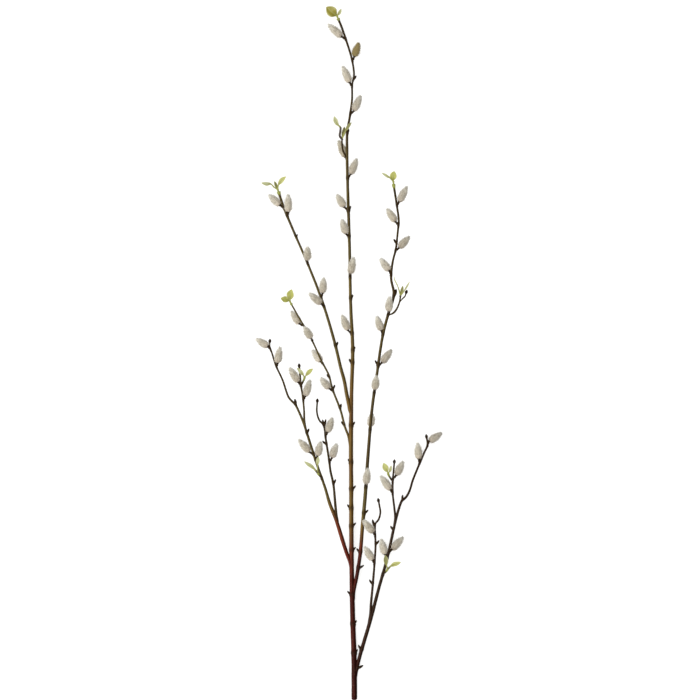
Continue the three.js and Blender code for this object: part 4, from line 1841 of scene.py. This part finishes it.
WOODS = (
    Wood(
        node=LEADER,
        shoots=(
            Shoot(
                route=(
                    (354.35, 700, 4.1), (354.1, 660, 4.1), (352.65, 615, 4.6), (351.9, 580, 6),
                    (351.4, 536, 8), (351.2, 483, 10), (351, 440, 11), (351.6, 390, 12), (352.7, 350, 12),
                    (350.7, 305, 12), (349.5, 246, 12), (347.8, 190, 12), (347, 150, 12.5),
                    (347.4, 131, 12), (349.8, 117, 10.5), (352, 100, 9.5), (352.3, 84, 7.6), (354, 76, 7),
                    (352.2, 61, 6.6), (347, 43, 6.45), (341.5, 27, 6.65), (338, 18.5, 7),
                ),
                thickness=(8.5, 7.7, 6.9, 6.3, 6.4, 4.4, 3.6, 3.65, 3.45, 2.2, 2.8),
                tone=(
                    0.12, 0.12, 0.18, 0.15, 0.2, 0.27, 0.46, 0.52, 0.46, 0.52, 0.46, 0.47, 0.6, 0.62, 0.62,
                    0.64, 0.66, 0.72, 0.72, 0.7, 0.86, 0.86, 0.95, 1.0, 1.0,
                ),
            ),
            Shoot(
                route=(
                    (351.1, 454, 10.9), (350.2, 446, 11.1), (348.2, 435.5, 11.4), (345.1, 427.4, 12),
                    (340.5, 410, 14.5), (332.5, 389, 19), (328.8, 375, 22), (321.5, 360.8, 25),
                    (311.9, 340, 28), (298.1, 316, 30), (291, 303.4, 30),
                ),
                thickness=(2.9, 2.5, 2.1, 2),
                tone=(0.52, 0.66, 0.68, 0.72, 0.7),
            ),
            Shoot(
                route=((347.1, 159, 12.4), (342.9, 150.5, 17), (341.9, 142, 18)),
                thickness=(2.3, 2),
                tone=(0.9, 1.0),
            ),
        ),
        buds=(
            Bud(356.2, 75.7), Bud(348.7, 129.2), Bud(350.8, 206), Bud(352.9, 294.5), Bud(355, 346.5),
            Bud(349.1, 358.7, 1.2), Bud(355, 421.5), Bud(348.1, 458.6), Bud(355.8, 485.3),
            Bud(347.2, 504.2), Bud(355.9, 522.4), Bud(355.7, 546.8), Bud(347.2, 590.8), Bud(356.7, 620),
            Bud(357.7, 649), Bud(341, 403.5), Bud(341.3, 421.2), Bud(327, 374), Bud(334.8, 384.6),
        ),
        catkins=("stem_catkin", "left_middle_catkin"),
        sprigs=(
            Sprig(
                node="stem_tip_leaves", foot=(337.4, 17), aim=(334, 9), lift=0, reach=5,
                leaves=(
                    Leaf(((332.3, 12.5, 3), (326.4, 7.2, 4)), 15.2, 0.02, 4, LeafTone.OLIVE, 0.85),
                    Leaf(((339, 13.6, 2), (341.3, 9.2, 6)), 4.6, 0.02, 10, LeafTone.SILVER_GREEN),
                ),
            ),
            Sprig(
                node="stem_side_leaves", foot=(342, 140.6), aim=(342.6, 133), lift=0.3, reach=5,
                leaves=(
                    Leaf(
                        (
                            (339.8, 136.4, 1), (340.3, 131.8, 2), (340.5, 128, 3), (337.2, 124.4, 4),
                            (334, 116.6, 4),
                        ),
                        6.4, 0.58, -5, LeafTone.SILVER_GREEN, woody=1.0,
                    ),
                    Leaf(((343.4, 133.6, 2), (344.5, 127, 3)), 6, 0.1, 20, LeafTone.SHADED),
                    Leaf(
                        ((344.8, 133, 4), (348, 127.2, 7), (351.5, 122.9, 8)),
                        4.4, 0.45, 5, LeafTone.MOSS,
                    ),
                ),
                green_run=0,
            ),
            Sprig(
                node="left_middle_leaves", foot=(290.4, 302.2), aim=(288, 296), lift=0.3, reach=5,
                leaves=(
                    Leaf(((285.8, 299.6, 2), (281, 298.4, 4)), 9, 0.08, 0, LeafTone.YELLOW_GREEN),
                    Leaf(((290.4, 296, 2), (291.8, 289.6, 5)), 11, 0.08, -12, LeafTone.YELLOW_GREEN),
                ),
            ),
        ),
    ),
    Wood(
        node="left_upper_branch",
        shoots=(
            Shoot(
                route=(
                    (351.2, 416.5, 11.8), (349.6, 407.5, 12.2), (346.9, 395, 12.7), (344.1, 380, 13),
                    (340.8, 368, 13), (335.7, 346.5, 13), (327.5, 317.4, 12.5), (319.9, 294.5, 12),
                    (307, 262, 11), (294.8, 234, 8.4), (283.2, 206, 6.55), (278.5, 191.6, 6.6),
                ),
                thickness=(4.7, 3.7, 3.1, 2.8, 3.1),
                tone=(0.46, 0.62, 0.67, 0.68, 0.7, 0.72, 0.74),
            ),
        ),
        buds=(Bud(337.8, 341.6), Bud(297.6, 234, 0.6)),
        catkins=("left_upper_catkin",),
        sprigs=(
            Sprig(
                node="left_upper_leaves", foot=(278, 190.4), aim=(275.6, 183), lift=0.3, reach=5,
                leaves=(
                    Leaf(
                        ((274.2, 187.4, 1), (271, 184.3, 3), (266.4, 184.3, 4), (261.3, 183, 3)),
                        6, 0.42, 25, LeafTone.SILVER_GREEN,
                    ),
                    Leaf(((276.2, 186, 1.5), (274.4, 181.4, 4)), 4.9, 0.05, 30, LeafTone.MOSS),
                    Leaf(
                        ((278.5, 185.2, 2), (281.6, 180.6, 4), (286, 176.6, 6)),
                        6.4, 0.25, -5, LeafTone.PALE_GREEN,
                    ),
                ),
                green_run=6,
            ),
        ),
    ),
    Wood(
        node="left_lower_branch",
        shoots=(
            Shoot(
                route=(
                    (352, 580, 6), (350.9, 565, 7.2), (345.7, 550, 9), (335.6, 518, 17),
                    (329.9, 503.6, 21.6), (325, 487, 27), (317.7, 466, 34), (310.6, 444, 41),
                    (303.9, 423, 46), (299, 411.2, 48.2), (295.3, 403.9, 49.6), (292.2, 401, 50),
                    (288.9, 397, 50), (282.9, 380, 50), (276, 365, 47), (272.2, 353, 43),
                    (269.9, 346, 40.4), (270.1, 341.8, 39),
                ),
                thickness=(5.6, 5.6, 5.9, 4.1, 3.1, 3.05, 3.15, 2.8, 2.4, 2.2, 2),
                tone=(0.22, 0.25, 0.32, 0.36, 0.6, 0.71, 0.71, 0.71, 0.69, 0.76, 0.82, 0.84, 0.85),
                end_bud=True,
            ),
            Shoot(
                route=(
                    (309.4, 440.5, 42), (306.2, 430, 45), (304.6, 420.5, 47.8), (304.3, 411, 50.4),
                    (303.1, 397.4, 54), (301.2, 385, 57), (300.3, 375, 58), (299.5, 366.4, 58),
                ),
                thickness=(2.9, 2.3, 2.4),
                tone=(0.74, 0.84),
                end_bud=True,
            ),
            Shoot(
                route=(
                    (338.7, 527, 14.2), (336.6, 517, 17.2), (335.5, 506, 20), (333.4, 484, 23),
                    (330.5, 470.6, 25), (329.3, 461, 26), (326, 440, 28), (323.4, 424.4, 29),
                    (319.6, 420.4, 30), (317, 412, 32), (317.4, 401.4, 34),
                ),
                thickness=(3.4, 2.8, 2.5, 2),
                tone=(0.8, 1.0, 1.0),
                end_bud=True,
            ),
        ),
        buds=(
            Bud(294.9, 398.6, 1.2), Bud(309.2, 428), Bud(322.4, 419.4), Bud(325.9, 418.8),
            Bud(322.4, 440.4), Bud(335.7, 478.8),
        ),
        catkins=("left_lower_catkin",),
        sprigs=(
            Sprig(
                node="left_lower_fork_leaves", foot=(304.6, 378.2), aim=(306.6, 371), lift=3, reach=10,
                leaves=(
                    Leaf(((308.6, 372.6, 2), (313.2, 368.5, 4)), 6.4, 0.12, -12, LeafTone.YELLOW_GREEN),
                    Leaf(((301.4, 372, 4.5), (297.2, 367.6, 6)), 5.4, 0.15, -8, LeafTone.SILVER_GREEN),
                ),
            ),
            Sprig(
                node="left_lower_arm_leaves", foot=(318.4, 473.6), aim=(314.6, 468), lift=3.4, reach=7,
                leaves=(
                    Leaf(
                        ((312.6, 466.7, 2), (304.2, 461, 4)),
                        5.8, 0.2, -12, LeafTone.SILVER_GREEN, woody=0.8,
                    ),
                    Leaf(((317.6, 463.6, 4.5), (318.6, 456, 9)), 5.4, 0.45, -8, LeafTone.SILVER_GREEN),
                ),
            ),
        ),
    ),
    Wood(
        node="right_branch",
        shoots=(
            Shoot(
                route=(
                    (352.6, 606, 5), (353.6, 592, 5.8), (357, 575, 8), (360.4, 552, 12), (362.4, 527, 16),
                    (365, 498, 20), (367.2, 466, 25), (371.8, 410.6, 31), (376.7, 375, 35),
                    (382.5, 336.5, 38), (388.2, 314, 40), (392.8, 300, 41), (393.6, 292.4, 41),
                    (391, 279, 42), (392.6, 262, 42), (395.6, 249.5, 42), (397.8, 230.4, 41),
                    (398.6, 221.5, 40), (396.7, 206, 39), (393.9, 188, 37), (393.4, 184.6, 36.5),
                ),
                thickness=(5.3, 5.5, 4.2, 3.7, 3.4, 3.4, 2.4, 2.8),
                tone=(0.17, 0.19, 0.66, 0.78, 0.75, 0.72, 0.74, 0.82, 0.92, 1.0),
            ),
            Shoot(
                route=(
                    (387.8, 315.6, 39.8), (393.6, 312.8, 42), (397.4, 307.4, 44), (399.7, 300.6, 46),
                    (400, 298.6, 46.5),
                ),
                thickness=(2.5, 1.9),
                tone=(0.76, 0.9),
            ),
            Shoot(
                route=((398.9, 303.2, 45.2), (402.2, 299, 46), (404.8, 296.4, 46.6), (405.9, 293, 47)),
                thickness=(1.7, 1.5),
                tone=(0.8, 0.95),
                end_bud=True,
            ),
        ),
        buds=(
            Bud(393.6, 239.2), Bud(396, 289.2, 1.6), Bud(374.9, 360), Bud(368.3, 509.4), Bud(356.6, 548),
            Bud(364, 564.8),
        ),
        catkins=("right_catkin",),
        sprigs=(
            Sprig(
                node="right_tip_leaves", foot=(393.3, 183.2), aim=(392.8, 175), lift=0.3, reach=5,
                leaves=(
                    Leaf(((393, 178, 2), (394.2, 171.8, 4)), 10.2, 0.08, -8, LeafTone.YELLOW_GREEN),
                    Leaf(((389.4, 178.4, 3), (381.6, 173.4, 4)), 4, 0.3, -15, LeafTone.SILVER_GREEN),
                ),
                green_run=8,
            ),
            Sprig(
                node="right_side_leaves", foot=(400.1, 297.2), aim=(400.8, 289), lift=0.6, reach=5,
                leaves=(
                    Leaf(
                        ((398.7, 290, 3), (396.6, 284.4, 5), (394.4, 280, 5), (393.8, 275.6, 4)),
                        1.9, 0.3, -10, LeafTone.SILVER_GREEN,
                    ),
                    Leaf(((401.5, 291.6, 1), (402.6, 286, 3)), 4.6, 0.05, 10, LeafTone.MOSS),
                    Leaf(((403.6, 291.6, 3), (409.6, 281.6, 6)), 2.8, 0.3, 10, LeafTone.SILVER_GREEN),
                ),
                green_run=0,
            ),
        ),
    ),
    Wood(
        node="right_lower_branch",
        shoots=(
            Shoot(
                route=(
                    (354.5, 690, 4.1), (355.2, 677, 4.1), (357.1, 667, 4.2), (360.2, 654.5, 4.8),
                    (363.6, 643, 5.5), (370.2, 620.6, 7), (379.4, 586, 7.4), (385.6, 564, 7),
                    (389.7, 547, 6.8), (394.3, 526, 7.4), (398.9, 508.3, 8.2), (402, 500.6, 8.4),
                    (406, 497, 8.4), (409.4, 491, 8.4), (412.6, 480.6, 8), (416.8, 470, 7.6),
                    (423.8, 453.4, 6.6), (427.5, 444.6, 6.2), (426.5, 437.2, 6.4),
                ),
                thickness=(5.2, 5.2, 3.7, 3.4, 2.7, 2.4),
                tone=(0.12, 0.1, 0.04, 0.0, 0.0, 0.0, 0.0, 0.0, 0.0),
                end_bud=True,
            ),
            Shoot(
                route=(
                    (393.5, 530, 7.2), (395.2, 519.5, 8.6), (394.2, 507, 12), (392.8, 495, 15),
                    (392.8, 480, 18), (393.7, 468, 21), (394.2, 462.2, 22),
                ),
                thickness=(3.4, 2.6, 2.4, 2.2, 2),
                tone=(0.0, 0.0),
                end_bud=True,
            ),
            Shoot(
                route=(
                    (368, 628, 6.2), (370.3, 616, 7.6), (371.1, 602, 11), (372.6, 586, 15),
                    (374.7, 560, 19), (375.5, 545, 21), (375, 530, 22), (375.3, 523.4, 23),
                    (378.5, 519.2, 24), (380.3, 512, 25), (379.3, 505, 25.6), (378.5, 500.8, 26),
                ),
                thickness=(3.8, 2.9, 2.6, 2.4, 2.2),
                tone=(0.04, 0.0, 0.0),
                end_bud=True,
            ),
        ),
        buds=(
            Bud(363.4, 665, 1.15), Bud(358.4, 644.6), Bud(390.4, 525.6), Bud(402.8, 494.6),
            Bud(372.4, 519, 1.2), Bud(379, 539.8), Bud(369.2, 579),
        ),
        catkins=("right_lower_catkin",),
        sprigs=(
            Sprig(
                node="right_lower_fork_leaves", foot=(388.2, 474), aim=(386.6, 468), lift=2, reach=10,
                leaves=(
                    Leaf(((386.2, 469, 2), (383.4, 462.6, 4)), 8.8, 0.1, -6, LeafTone.PALE_GREEN),
                    Leaf(((390, 470.4, 3), (391.2, 465.2, 5)), 4.4, 0.15, -20, LeafTone.SILVER_GREEN),
                ),
            ),
            Sprig(
                node="right_lower_arm_leaves", foot=(387, 570), aim=(389.6, 565), lift=4, reach=7,
                leaves=(
                    Leaf(((386.3, 564.2, 4.5), (385.3, 554.6, 8)), 7, 0.3, 8, LeafTone.MOSS),
                    Leaf(
                        ((391.6, 565.4, 2), (400.8, 562, 4)),
                        6.4, 0.25, -15, LeafTone.PALE_GREEN, woody=0.6,
                    ),
                ),
            ),
        ),
    ),
)

# How much brown husk still shows on two of the catkins.
HUSKY_CATKINS = {"stem_catkin_02": 1.0, "stem_catkin_05": 0.4}


def main() -> None:
    """Builds the twig piece by piece, then the studio around it."""
    logging.basicConfig(level=logging.INFO, format="%(name)s: %(message)s")
    bark = BarkFinish().material()
    cut = CutWoodFinish().material()
    leaf = LeafFinish().material()
    carpenter = WoodBuilder()
    leaves = SprigBuilder()
    for wood in WOODS:
        carpenter.build(wood, bark, cut)
        for sprig in wood.sprigs:
            leaves.build(wood, sprig, leaf)
    CatkinBuilder().build(FurFinish().material())
    Studio().build(FloorFinish().material())


if __name__ == "__main__":
    main()
